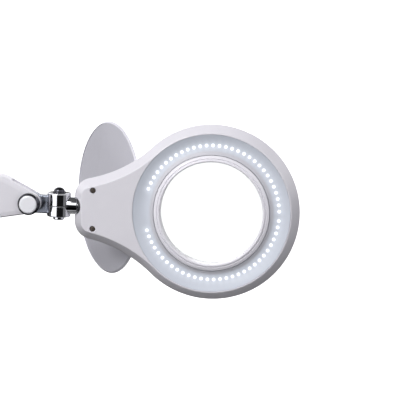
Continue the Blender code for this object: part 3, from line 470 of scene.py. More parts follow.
@dataclass(frozen=True)
class Finish:
    """A surface: its colour, how it was made, and the size of its texture."""

    name: str
    colour: str
    second: str
    roughness: float
    metallic: float = 0.0
    ior: float = 1.5
    grain_mm: float = 0.8
    grain_depth_mm: float = 0.01
    cloud_mm: float = 30.0
    coat: float = 0.0
    uneven: float = 0.12

    def dress(self, tree: Any, shader: Any, where: Any) -> None:
        """Adds the clouded colour, the uneven gloss and the fine grain that every finish has.

        Args:
            tree: The material's node tree.
            shader: Its Principled shader.
            where: The coordinates of the textures.
        """
        patches = {"Scale": 1 / (self.cloud_mm * MM), "Detail": 3.0}
        cloud = add(tree, "ShaderNodeTexNoise", patches, {"Vector": where})
        mix = add(
            tree,
            "ShaderNodeMix",
            {"data_type": "RGBA", "A_Color": linear(self.colour), "B_Color": linear(self.second)},
            {"Factor_Float": cloud.outputs["Fac"]},
        )
        tree.links.new(socket(mix.outputs, "Result_Color"), shader.inputs["Base Color"])
        gloss = add(
            tree,
            "ShaderNodeMapRange",
            {
                "From Min": 0.3,
                "From Max": 0.7,
                "To Min": (1 - self.uneven) * self.roughness,
                "To Max": (1 + self.uneven) * self.roughness,
            },
            {"Value": cloud.outputs["Fac"]},
        )
        tree.links.new(gloss.outputs["Result"], shader.inputs["Roughness"])
        specks = {"Scale": 1 / (self.grain_mm * MM), "Detail": 2.0}
        grain = add(tree, "ShaderNodeTexNoise", specks, {"Vector": where})
        bump = add(
            tree,
            "ShaderNodeBump",
            {"Strength": 0.6, "Distance": self.grain_depth_mm * MM},
            {"Height": grain.outputs["Fac"]},
        )
        tree.links.new(bump.outputs["Normal"], shader.inputs["Normal"])

    def material(self) -> Any:
        """Makes the material, with everything it shows placed by the piece's own coordinates.

        Returns:
            The material.
        """
        made = bpy.data.materials.new(self.name)
        made.use_nodes = True
        tree = made.node_tree
        shader = tree.nodes["Principled BSDF"]
        shader.inputs["Metallic"].default_value = self.metallic
        if self.metallic < 0.5:
            shader.inputs["IOR"].default_value = self.ior
        shader.inputs["Coat Weight"].default_value = self.coat
        coordinates = add(tree, "ShaderNodeTexCoord")
        self.dress(tree, shader, coordinates.outputs["Object"])
        return made


@dataclass(frozen=True)
class Brushed(Finish):
    """Metal with fine scratches along one direction."""

    stretch: tuple[float, float, float] = (1.0, 12.0, 1.0)

    def dress(self, tree: Any, shader: Any, where: Any) -> None:
        """Stretches the grain into brushing lines before the usual dressing."""
        stretched = add(tree, "ShaderNodeMapping", {"Scale": self.stretch}, {"Vector": where})
        super().dress(tree, shader, stretched.outputs["Vector"])


@dataclass(frozen=True)
class ClearGlass(Finish):
    """Polished optical glass: clear, with the index of crown glass."""

    def dress(self, tree: Any, shader: Any, where: Any) -> None:
        """Lets light through and keeps the surface all but perfect."""
        shader.inputs["Base Color"].default_value = linear(self.colour)
        shader.inputs["Transmission Weight"].default_value = 1.0
        smear = add(tree, "ShaderNodeTexNoise", {"Scale": 1 / (self.cloud_mm * MM)}, {"Vector": where})
        gloss = add(
            tree,
            "ShaderNodeMapRange",
            {"From Min": 0.4, "From Max": 0.8, "To Min": 0.0, "To Max": self.roughness},
            {"Value": smear.outputs["Fac"]},
        )
        tree.links.new(gloss.outputs["Result"], shader.inputs["Roughness"])


@dataclass(frozen=True)
class LitDiffuser(Finish):
    """Frosted polycarbonate, lit by LEDs behind it: each shows as a bright spot in a cool halo.

    strength is the light of a spot, haze that of its halo and seep what comes through everywhere.
    """

    glow: str = "#ffffff"
    halo: str = "#d9dfea"
    hub: str = "#c2c1c7"
    strength: float = 1.3
    haze: float = 0.2
    seep: float = 0.34

    def dress(self, tree: Any, shader: Any, where: Any) -> None:
        """Whitens the inner slope, and adds the light of the glow and halo attributes outside it."""
        super().dress(tree, shader, where)
        frost = shader.inputs["Base Color"].links[0].from_socket
        inner = add(tree, "ShaderNodeAttribute", {"attribute_name": "hub"})
        base = add(
            tree,
            "ShaderNodeMix",
            {"data_type": "RGBA", "B_Color": linear(self.hub)},
            {"Factor_Float": inner.outputs["Fac"], "A_Color": frost},
        )
        tree.links.new(socket(base.outputs, "Result_Color"), shader.inputs["Base Color"])
        spot = add(tree, "ShaderNodeAttribute", {"attribute_name": "glow"})
        haze = add(tree, "ShaderNodeAttribute", {"attribute_name": "halo"})
        mix = add(
            tree,
            "ShaderNodeMix",
            {"data_type": "RGBA", "A_Color": linear(self.halo), "B_Color": linear(self.glow)},
            {"Factor_Float": spot.outputs["Fac"]},
        )
        tree.links.new(socket(mix.outputs, "Result_Color"), shader.inputs["Emission Color"])
        faint = add(
            tree,
            "ShaderNodeMath",
            {"operation": "MULTIPLY_ADD", "Value_001": self.haze, "Value_002": self.seep},
            {"Value": haze.outputs["Fac"]},
        )
        both = add(
            tree,
            "ShaderNodeMath",
            {"operation": "MULTIPLY_ADD", "Value_001": self.strength},
            {"Value": spot.outputs["Fac"], "Value_002": faint.outputs["Value"]},
        )
        less = {"operation": "SUBTRACT", "Value": 1.0}
        clear = add(tree, "ShaderNodeMath", less, {"Value_001": inner.outputs["Fac"]})
        seen = add(
            tree,
            "ShaderNodeMath",
            {"operation": "MULTIPLY"},
            {"Value": both.outputs["Value"], "Value_001": clear.outputs["Value"]},
        )
        tree.links.new(seen.outputs["Value"], shader.inputs["Emission Strength"])


# Injection-moulded ABS with a satin spark texture: soft highlights, a trace of lilac in the white
SHELL_ABS = Finish(
    "satin_white_abs", "#d9d7dd", "#d2d0d7", 0.34, grain_mm=0.5, grain_depth_mm=0.006, coat=0.12
)
# The same resin from a polished tool: a brighter, tighter highlight
GLOSS_ABS = Finish(
    "gloss_white_abs", "#e6e6ea", "#dfdfe5", 0.16, grain_mm=2.0, grain_depth_mm=0.002, coat=0.3
)
# The bezel: satin like the shell, a shade lighter
BEZEL_ABS = Finish("bezel_white_abs", "#e3e1e7", "#dcdae1", 0.42, grain_mm=0.5, grain_depth_mm=0.006)
# A thin moulded cover, greyer and a little more matt
COVER_ABS = Finish("cover_grey_abs", "#d0cfd7", "#c9c8d0", 0.38, grain_mm=0.5, grain_depth_mm=0.006, coat=0.1)
# Sand-blasted polycarbonate: a dense, even frost
FROSTED_PC = LitDiffuser(
    "frosted_polycarbonate", "#94979f", "#9c9fa7", 0.5, grain_mm=0.35, grain_depth_mm=0.02
)
CROWN_GLASS = ClearGlass("crown_glass", "#fbfdfc", "#fbfdfc", 0.02, ior=1.52)
# Bright nickel and chrome plating: a mirror with the faintest orange peel
CHROME = Finish(
    "chrome_plate", "#e9e9ec", "#dcdde1", 0.07, 1.0, grain_mm=2.5, grain_depth_mm=0.003, cloud_mm=12.0
)
# Chrome of the knobs and the bolt's head, with painted dark reflections: the same mirror, its colour several
# stops darker
CHROME_PAINTED_DARK = Finish("chrome_painted_dark", "#55555b", "#4a4a50", 0.09, 1.0, grain_mm=2.5, grain_depth_mm=0.003)
# Satin-plated zinc casting of the flat link: duller and bluer than the chrome beside it
SATIN_ZINC = Finish("satin_zinc", "#9da2ae", "#8f94a1", 0.26, 1.0, grain_mm=0.4, grain_depth_mm=0.004)
TURNED_STEEL = Brushed("turned_steel", "#b9b9bb", "#a2a2a6", 0.3, 1.0, grain_mm=0.4, grain_depth_mm=0.006)
BAR_ALUMINIUM = Brushed(
    "extruded_aluminium", "#c3c5c8", "#b2b4b8", 0.34, 1.0, grain_mm=0.6, grain_depth_mm=0.008
)
# Oil-blackened screws: a worn grey-brown sheen
BLACK_OXIDE = Finish("black_oxide_steel", "#6b625b", "#4c4640", 0.36, 0.9, grain_mm=0.3)
BLACK_NYLON = Finish("black_nylon", "#26262a", "#1e1e22", 0.5, grain_mm=0.35, grain_depth_mm=0.012)
# Moulded nitrile rubber: matt, with a coarse grain
RUBBER = Finish("nitrile_rubber", "#2c2c2e", "#232325", 0.78, grain_mm=0.9, grain_depth_mm=0.03)
# Epoxy powder coat: gloss with a fine orange peel
POWDER_COAT = Finish(
    "white_powder_coat", "#dad8de", "#d4d2d9", 0.3, grain_mm=1.6, grain_depth_mm=0.02, coat=0.2
)
SOLDER_MASK = Finish("white_solder_mask", "#e4e4dc", "#dcdcd2", 0.4, grain_mm=0.6)


class Paintbox:
    """Makes each finish's material once and gives it to pieces."""

    def __init__(self) -> None:
        """Starts with no materials made."""
        self.made: dict[str, Any] = {}

    def paint(self, thing: bpy.types.Object, finish: Finish) -> None:
        """Gives a piece a finish.

        Args:
            thing: The piece.
            finish: Its finish.
        """
        if finish.name not in self.made:
            self.made[finish.name] = finish.material()
        thing.data.materials.clear()
        thing.data.materials.append(self.made[finish.name])


# ---------------------------------------------------------------- the lamp


class Lamp:
    """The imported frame, with the calls that hand a piece over to it."""

    def __init__(self, frame: dict[str, Any]) -> None:
        """Keeps the frame and finds its joints.
        """
        self.frame = frame
        self.joints = {joint["name"]: joint for joint in frame["joints"]}
        self.paintbox = Paintbox()

    def pivot(self, joint: str) -> Array:
        """A joint's position."""
        return np.array(self.joints[joint]["pos_m"], float)

    def middle(self, node: str) -> Array:
        """The centre of a node's box."""
        low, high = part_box(node)
        return (np.array(low) + np.array(high)) / 2

    def hand_over(
        self, piece: bpy.types.Object, body: str, finish: Finish, slot: str, *nodes: str
    ) -> bpy.types.Object:
        """Finishes a piece: its material, its body and the nodes it stands for.

        Args:
            piece: The piece.
            body: The CAD body it moves with.
            finish: Its finish.
            slot: The record's material slot; not used.
            nodes: The CAD nodes it replaces.

        Returns:
            The piece.
        """
        self.paintbox.paint(piece, finish)
        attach(piece, body)
        if nodes:
            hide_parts(*nodes)
        LOG.info("%s: %d faces on %s", piece.name, len(piece.data.polygons), body)
        return piece

    def keep(self, node: str, finish: Finish) -> None:
        """Keeps a CAD node as it is, in a better finish."""
        thing = self.frame["nodes"][node]
        self.paintbox.paint(thing, finish)
        LOG.info("%s: kept", node)


@dataclass
class Head:
    """The lit head: two mouldings, the lens with its ring, the diffuser and the small parts."""

    lamp: Lamp
    face_radius: float = 94.8 * MM
    depth: float = 24.6 * MM
    chamfer: float = 10.3 * MM
    wall: float = 2.2 * MM
    edge: float = 1.6 * MM
    seam: float = 0.3 * MM
    blend_radius: float = 165 * MM
    blend_angle: float = math.radians(46.5)
    neck_end: float = 154.5 * MM
    neck_sag: float = math.radians(1.1)
    neck_corner: float = 12 * MM
    opening: float = 93.5 * MM
    aperture: float = 60.8 * MM
    bead: float = 63.9 * MM
    cone_inner: float = 65.1 * MM
    cone_outer: float = 68.6 * MM
    bezel_rear: float = 16 * MM
    lens_radius: float = 63.3 * MM
    lens_curve: float = 346 * MM
    led_radius: float = 80.1 * MM
    led_pitch: float = math.radians(5.445)
    led_first: float = math.radians(4.0)
    led_count: int = 30
    screw_back: float = 140.8 * MM
    screw_spread: float = 23 * MM
    button_back: float = 120 * MM
    button_radius: float = 6 * MM
    stem_way: float = 10.8 * MM
    knuckle: float = 2.6 * MM
    lug_from: float = 24.6 * MM
    lug_to: float = 32.6 * MM
    gap: float = 0.3 * MM
    diffuser_inner: float = 69.2 * MM
    diffuser_dip: float = 6.3 * MM
    spot: float = 1.8 * MM
    halo: float = 5 * MM
    hub_edge: float = 73.5 * MM
    hub_blur: float = 0.5 * MM

    def __post_init__(self) -> None:
        """Finds the lens's centre: local y runs from the face (minus) to the back (plus)."""
        lens = self.lamp.middle("magnifier_lens")
        swivel = self.lamp.pivot("head_swivel")
        self.place = Place(np.array([lens[0], swivel[1], swivel[2]]))

    def y(self, below: float) -> float:
        """The local y at a depth below the face."""
        return below - self.depth / 2

    def outline(self, offset: float) -> Array:
        """The head's outline, grown outwards by an offset.

        The round face and each hollow side of the neck are arcs that touch; the hollow side's centre
        lies the sum of both radii from the lens, and a corner arc ends the neck. Growing the outline
        adds to the round arcs' radii and takes from the hollow one's.

        Args:
            offset: How far outwards.

        Returns:
            The closed outline's (x, z) points, always the same count.
        """
        reach = self.face_radius + self.blend_radius
        hollow = np.array([-reach * math.cos(self.blend_angle), reach * math.sin(self.blend_angle)])
        corner_x = -self.neck_end + self.neck_corner
        span = self.blend_radius + self.neck_corner
        drop = math.sqrt(span**2 - (hollow[0] - corner_x) ** 2)
        lean = -math.asin(drop / span) if corner_x > hollow[0] else -math.pi + math.asin(drop / span)
        corner = arc((corner_x, hollow[1] - drop), self.neck_corner + offset, math.pi + lean, math.pi, 24)
        end = np.linspace(corner[-1], corner[-1] * [1, 0], 16)
        upper = np.concatenate(
            [
                arc((0, 0), self.face_radius + offset, 0, math.pi - self.blend_angle, 150),
                arc(hollow, self.blend_radius - offset, -self.blend_angle, lean, 50)[1:],
                corner[1:],
                end[1:],
            ]
        )
        return self.sagged(np.concatenate([upper, (upper[1:-1] * [1, -1])[::-1]]))

    def sagged(self, points: Array) -> Array:
        """Points of the neck, turned about the lens's centre by the neck's sag."""
        cosine, sine = math.cos(self.neck_sag), math.sin(self.neck_sag)
        return points @ np.array([[cosine, sine], [-sine, cosine]])

    def rim(self, radius: float) -> Array:
        """A circle whose points stand at the polar angles of the outline's points."""
        line = self.outline(0.0)
        return radius * line / np.linalg.norm(line, axis=1, keepdims=True)

    def shell(self, name: str, hole: float, side: float) -> bpy.types.Object:
        """One moulding of the head as a closed shell.

        Its section runs from the round hole across the flat face, over a rounded edge, down the broad
        chamfer to the seam, and back inside one wall's thickness away. Between the hole and the
        outline, each point is a weighted mean of the two.

        Args:
            name: The piece's name.
            hole: The radius of its round hole.
            side: -1 for the face and 1 for the back.

        Returns:
            The moulding, with no openings but the hole.
        """
        top, drop = side * self.depth / 2, self.depth / 2 - self.seam / 2
        slant = self.wall * math.hypot(drop, self.chamfer) / drop
        section = rounded(
            [
                (-3 * self.edge, 0, 0),
                (0, 0, self.edge),
                (self.chamfer, drop, 0.4 * self.edge),
                (self.chamfer - slant, drop, 0),
                (self.chamfer * self.wall / drop - slant, self.wall, 0),
            ],
            closed=False,
            steps=6,
        )
        lip = 0.16 * self.edge
        rows = [
            (self.rim(hole), top - side * self.wall),
            (self.rim(hole), top - side * lip),
            (self.rim(hole + 0.3 * lip), top - side * 0.3 * lip),
            (self.rim(hole + lip), top),
        ]
        inner, outer = self.rim(hole + lip), self.outline(section[1][0])
        rows += [(inner + (outer - inner) * share, top) for share in (0.02, 0.35, 0.7, 0.97)]
        rows += [(self.outline(offset), top - side * below) for offset, below in section[1:]]
        under = self.outline(section[-1][0])
        rows += [(under + (inner - under) * share, top - side * self.wall) for share in (0.3, 0.65)]
        return skin(name, loft(rows), self.place, ring=True)

    def stem_hole(self) -> bpy.types.Object:
        """What the stem's way into the neck takes."""
        end, inside = -self.neck_end, PAST / 3.3
        return bar("stem_way", self.stem_way, end - PAST, end + inside, self.place, Axis.ALONG, 96)

    def screw_places(self) -> list[Place]:
        """The frames of the two screws in the neck."""
        spots = self.sagged(np.array([(-self.screw_back, side * self.screw_spread) for side in (1, -1)]))
        return [self.place.moved(x=float(x), z=float(z)) for x, z in spots]

    def front_moulding(self) -> None:
        """The face, with its recessed screw holes."""
        shell = self.shell("head_face_moulding", self.opening, -1.0)
        bores = []
        for number, place in enumerate(self.screw_places()):
            radius = 3.5 * MM
            profile = rounded(
                [
                    (radius + 0.5 * MM, self.y(-MM), 0),
                    (radius + 0.5 * MM, self.y(0), 0),
                    (radius, self.y(0.45 * MM), 0.3 * MM),
                    (radius, self.y(3.6 * MM), 0),
                ],
                closed=False,
            )
            bores.append(skin(f"screw_bore_{number}", turned(profile, Axis.ACROSS, 64), place))
        shaped(shell, take=[*bores, self.stem_hole()])
        self.lamp.hand_over(shell, "head", SHELL_ABS, "white_shell", "front_housing")
        for number, place in enumerate(self.screw_places()):
            floor = rounded(
                [
                    (1.9 * MM, self.y(3.3 * MM), 0),
                    (4.7 * MM, self.y(3.3 * MM), 0),
                    (4.7 * MM, self.y(12 * MM), 0),
                    (1.9 * MM, self.y(12 * MM), 0),
                ]
            )
            boss = skin(f"face_screw_boss_{number + 1}", turned(floor, Axis.ACROSS, 48), place, ring=True)
            self.lamp.hand_over(boss, "head", SHELL_ABS, "white_shell")

    def back_moulding(self) -> None:
        """The back, with the lens seat, the button's hole and the cover's hinge lugs."""
        shell = self.shell("head_back_moulding", self.aperture, 1.0)
        seat_in, seat_out = self.lens_radius + 0.3 * MM, self.lens_radius + 2.6 * MM
        floor, lip = self.y(self.depth - self.wall / 2), self.y(self.bezel_rear + 0.6 * MM)
        ring = rounded(
            [(seat_in, floor, 0), (seat_out, floor, 0), (seat_out, lip, 0.4 * MM), (seat_in, lip, 0.4 * MM)]
        )
        seat = skin("lens_seat", turned(ring, Axis.ACROSS, 160), self.place, ring=True)
        hinge = Place(self.lamp.pivot("cover_hinge"))
        lugs: list[bpy.types.Object] = []
        reach = self.knuckle
        for side in (-1.0, 1.0):
            near, far = sorted((side * self.lug_from, side * self.lug_to))
            lugs.append(bar(f"lug_eye_{side}", reach, near, far, hinge, Axis.UP, 48))
            drop = floor - (hinge.origin[1] - self.place.origin[1])
            base = np.array([(-reach, drop, near), (reach, 0.0, far)])
            lugs.append(block(f"lug_{side}", base[0], base[1], hinge, 0.4 * MM))
        at_button, half_groove = self.place.moved(x=-self.button_back), self.lug_from - 0.3 * MM
        take = [
            bar("button_way", self.button_radius + self.gap, 0, self.depth, at_button, Axis.ACROSS, 72),
            self.stem_hole(),
            bar("hinge_bore", 1.5 * MM, -2 * PAST, 2 * PAST, hinge, Axis.UP, 32),
        ]
        groove = bar("hinge_groove", reach + 2 * self.gap, -half_groove, half_groove, hinge, Axis.UP, 48)
        shaped(shell, take=[groove])
        shaped(shell, add=[seat, *lugs], take=take)
        self.lamp.hand_over(shell, "head", SHELL_ABS, "white_shell", "back_housing")

    def bezel(self) -> None:
        """The ring round the lens: bore, polished bead, groove, bright cone and skirt."""
        middle, half = (self.aperture + self.bead) / 2, (self.bead - self.aperture) / 2
        turn = np.linspace(math.pi, 0, 17)
        bead = np.stack([middle + half * np.cos(turn), self.y(1.8 * MM) - half * np.sin(turn)], axis=1)
        groove = (self.bead + self.cone_inner) / 2
        rest = rounded(
            [
                (self.bead, self.y(1.9 * MM), 0),
                (groove, self.y(2.2 * MM), 0.2 * MM),
                (self.cone_inner, self.y(1.4 * MM), 0.35 * MM),
                (self.cone_outer, self.y(3.1 * MM), 0.4 * MM),
                (self.cone_outer, self.y(5.4 * MM), 0.3 * MM),
                (self.aperture + self.wall, self.y(6.4 * MM), 1.5 * MM),
                (self.aperture + self.wall, self.y(self.bezel_rear), 0.4 * MM),
                (self.aperture, self.y(self.bezel_rear), 0.4 * MM),
                (self.aperture, self.y(4 * MM), 0),
            ],
            closed=False,
        )
        profile = np.concatenate([bead, rest[1:]])
        ring = skin("lens_ring", turned(profile, Axis.ACROSS, 256), self.place, ring=True)
        self.lamp.hand_over(ring, "head", BEZEL_ABS, "white_shell", "lens_bezel")

    def diffuser(self) -> None:
        """The frosted channel, with the light of each LED as attributes of the piece.

        The section's depth is a sine to the power 0.8 of the share across, on a sloping lip. A point's
        glow is e to minus the fourth power of its distance from the nearest LED over a spot's radius,
        its halo e to minus the square of that distance over the halo's, and the hub attribute is one
        inside the pale inner slope and falls to nought along a logistic curve.
        """
        inner, outer, across, around = self.diffuser_inner, self.opening - self.gap, 33, 720
        lip, slope, thickness = 3.2 * MM, 2.2 * MM, 1.5 * MM
        share = np.linspace(0, 1, across)
        radius = inner + (outer - inner) * share
        dip = self.diffuser_dip * np.sin(math.pi * share) ** 0.8
        front = np.stack([radius, self.y(lip - slope * share + dip)], axis=1)
        back = front[::-1] + [0, thickness]
        grid = turned(np.concatenate([front, back]), Axis.ACROSS, around)
        ring = skin("led_diffuser", grid, self.place, ring=True)
        x, z = grid[..., 0].ravel(), grid[..., 2].ravel()
        polar = np.abs(np.arctan2(z, x))
        nearest = np.clip(np.round((polar - self.led_first) / self.led_pitch), 0, self.led_count - 1)
        aim = self.led_first + nearest * self.led_pitch
        flat = np.hypot(x, z)
        gap = np.hypot(flat * np.cos(polar - aim) - self.led_radius, flat * np.sin(polar - aim))
        glow = np.exp(-((gap / self.spot) ** 4))
        halo = np.exp(-((gap / self.halo) ** 2))
        hub = 1 / (1 + np.exp((flat - self.hub_edge) / self.hub_blur))
        for label, values in (("glow", glow), ("halo", halo), ("hub", hub)):
            layer = ring.data.attributes.new(label, "FLOAT", "POINT")
            layer.data.foreach_set("value", values.astype(np.float32))
        self.lamp.hand_over(ring, "head", FROSTED_PC, "frosted_diffuser", "diffuser_ring")

    def lens(self) -> None:
        """The biconvex glass: each face's height falls with the square of the radius."""
        radius = np.linspace(0.002, 1, 40) * self.lens_radius
        bulge = (self.lens_radius**2 - radius**2) / (2 * self.lens_curve)
        edge = 1.5 * MM
        middle = self.y(18.3 * MM)
        face = np.stack([radius, middle - edge - bulge], axis=1)
        back = np.stack([radius[::-1], middle + edge + bulge[::-1]], axis=1)
        glass = skin("lens_glass", turned(np.concatenate([face, back]), Axis.ACROSS, 192), self.place)
        self.lamp.hand_over(glass, "head", CROWN_GLASS, "lens_glass", "magnifier_lens")

    def screws(self) -> None:
        """The two housing screws: rounded heads with a cross recess."""
        for label, place in zip(("upper", "lower"), self.screw_places()):
            top = self.y(1.4 * MM)
            profile = rounded(
                [
                    (POLE, top, 0),
                    (2.6 * MM, top, 1.2 * MM),
                    (3.2 * MM, top + 1.1 * MM, 0.5 * MM),
                    (3.2 * MM, top + 2 * MM, 0),
                    (1.5 * MM, top + 2 * MM, 0),
                    (1.5 * MM, self.y(18 * MM), 0),
                ],
                closed=False,
            )
            screw = skin(f"neck_screw_{label}", turned(profile, Axis.ACROSS, 40), place)
            slots = []
            for long, wide in ((1.7, 0.35), (0.35, 1.7)):
                low = (-long * MM, top - MM, -wide * MM)
                high = (long * MM, top + 1.1 * MM, wide * MM)
                slots.append(block(f"slot_{long}", low, high, place))
            shaped(screw, take=slots)
            self.lamp.hand_over(screw, "head", BLACK_OXIDE, "dark_screw", f"housing_screw_{label}")

    def button(self) -> None:
        """The push button on the back of the neck, its face dished for a fingertip."""
        place = self.place.moved(x=-self.button_back)
        outside = self.y(self.depth + 1.8 * MM)
        dish = np.linspace(0.01, 1, 12)
        face = np.stack([dish * 4.9 * MM, outside - 0.5 * MM * (1 - dish**2)], axis=1)
        body = rounded(
            [
                (4.9 * MM, outside, 0),
                (self.button_radius, outside, 0.8 * MM),
                (self.button_radius, self.y(self.depth - 2.5 * MM), 0),
                (7.5 * MM, self.y(self.depth - 2.5 * MM), 0.2 * MM),
                (7.5 * MM, self.y(self.depth - 4 * MM), 0.2 * MM),
                (0.1 * MM, self.y(self.depth - 4 * MM), 0),
            ],
            closed=False,
        )
        cap = skin("switch_button", turned(np.concatenate([face, body[1:]]), Axis.ACROSS, 64), place)
        self.lamp.hand_over(cap, "power_button", BLACK_NYLON, "dark_plastic", "power_button")

    def build(self) -> None:
        """Makes and dresses everything in the head."""
        self.front_moulding()
        self.back_moulding()
        self.bezel()
        self.diffuser()
        self.lens()
        self.screws()
        self.button()
        for board in ("led_board_upper", "led_board_lower", "driver_board"):
            self.lamp.keep(board, SOLDER_MASK)
        self.lamp.keep("lens_gasket", RUBBER)
        self.lamp.keep("stem_bush", BLACK_NYLON)


@dataclass
class Cover:
    """The disc cover on its hinge."""

    lamp: Lamp
    radius: float = 95.7 * MM
    thickness: float = 2.5 * MM
    bevel: float = 1.9 * MM
    chord: float = 84 * MM
    reach: float = 88.7 * MM
    knuckle: float = 24 * MM
    knuckle_radius: float = 2.6 * MM
    crease_radius: float = 203 * MM
    crease_reach: float = 37 * MM
    crease_depth: float = 0.3 * MM
    crease_slope: float = 0.02
    crease_blur: float = 0.5 * MM

    def __post_init__(self) -> None:
        """Turns the frame by the angle that the cover stands open: local x runs to the disc's centre."""
        joint = self.lamp.joints["cover_hinge"]
        opened = -math.radians(joint["range_deg"][0])
        x = np.array([math.cos(opened), math.sin(opened), 0.0])
        y = np.array([-math.sin(opened), math.cos(opened), 0.0])
        self.place = Place(self.lamp.pivot("cover_hinge"), x, y)

    def disc(self) -> bpy.types.Object:
        """The disc as a grid of rings, its outer face stepped along a shallow arc.

        Past an arc of a large circle the outer face drops by the crease's depth, over a smooth step (a
        hyperbolic tangent of the distance beyond it), and slopes away from there.

        Returns:
            The disc.
        """
        inner = -0.3 * MM
        outer = inner + self.thickness
        share = np.linspace(0.004, 1, 110)
        face = np.stack([share * (self.radius - self.bevel), np.full(110, outer)], axis=1)
        rim = rounded(
            [
                (self.radius - 1.4 * self.bevel, outer, 0),
                (self.radius - self.bevel, outer, 0.4 * MM),
                (self.radius, outer - self.bevel, 0.3 * MM),
                (self.radius, inner, 0.25 * MM),
                (0.3 * MM, inner, 0),
            ],
            closed=False,
        )
        profile = np.concatenate([face[:-3], rim])
        grid = turned(profile, Axis.ACROSS, 288)
        x, z = grid[..., 0], grid[..., 2]
        from_centre = np.hypot(x - (self.crease_reach - self.crease_radius), z) - self.crease_radius
        step = 0.5 + 0.5 * np.tanh(from_centre / self.crease_blur)
        on_face = grid[..., 1] > outer - 0.01 * MM
        fall = self.crease_depth * step + self.crease_slope * np.maximum(from_centre, 0)
        grid[..., 1] -= np.where(on_face, fall, 0.0)
        return skin("cover_disc", grid, self.place.moved(x=self.reach), sharp=24)

    def build(self) -> None:
        """Cuts the disc's chord, adds the knuckle, and dresses the pin."""
        disc = self.disc()
        edge = self.reach - self.chord
        past = 30 * MM
        chord = block("chord", (-past, -past, -self.radius), (edge, past, self.radius), self.place)
        far = (2.2 * edge, self.thickness - 0.6 * MM, self.knuckle)
        tab = block("tab", (0, -0.3 * MM, -self.knuckle), far, self.place)
        eye = bar("eye", self.knuckle_radius, -self.knuckle, self.knuckle, self.place, Axis.UP, 48)
        bore = bar("bore", 1.5 * MM, -2 * self.knuckle, 2 * self.knuckle, self.place, Axis.UP, 32)
        shaped(disc, take=[chord], sharp=24)
        shaped(disc, add=[tab, eye], take=[bore], sharp=24)
        self.lamp.hand_over(disc, "lens_cover", COVER_ABS, "white_shell", "lens_cover")
        self.lamp.keep("cover_hinge_pin", TURNED_STEEL)


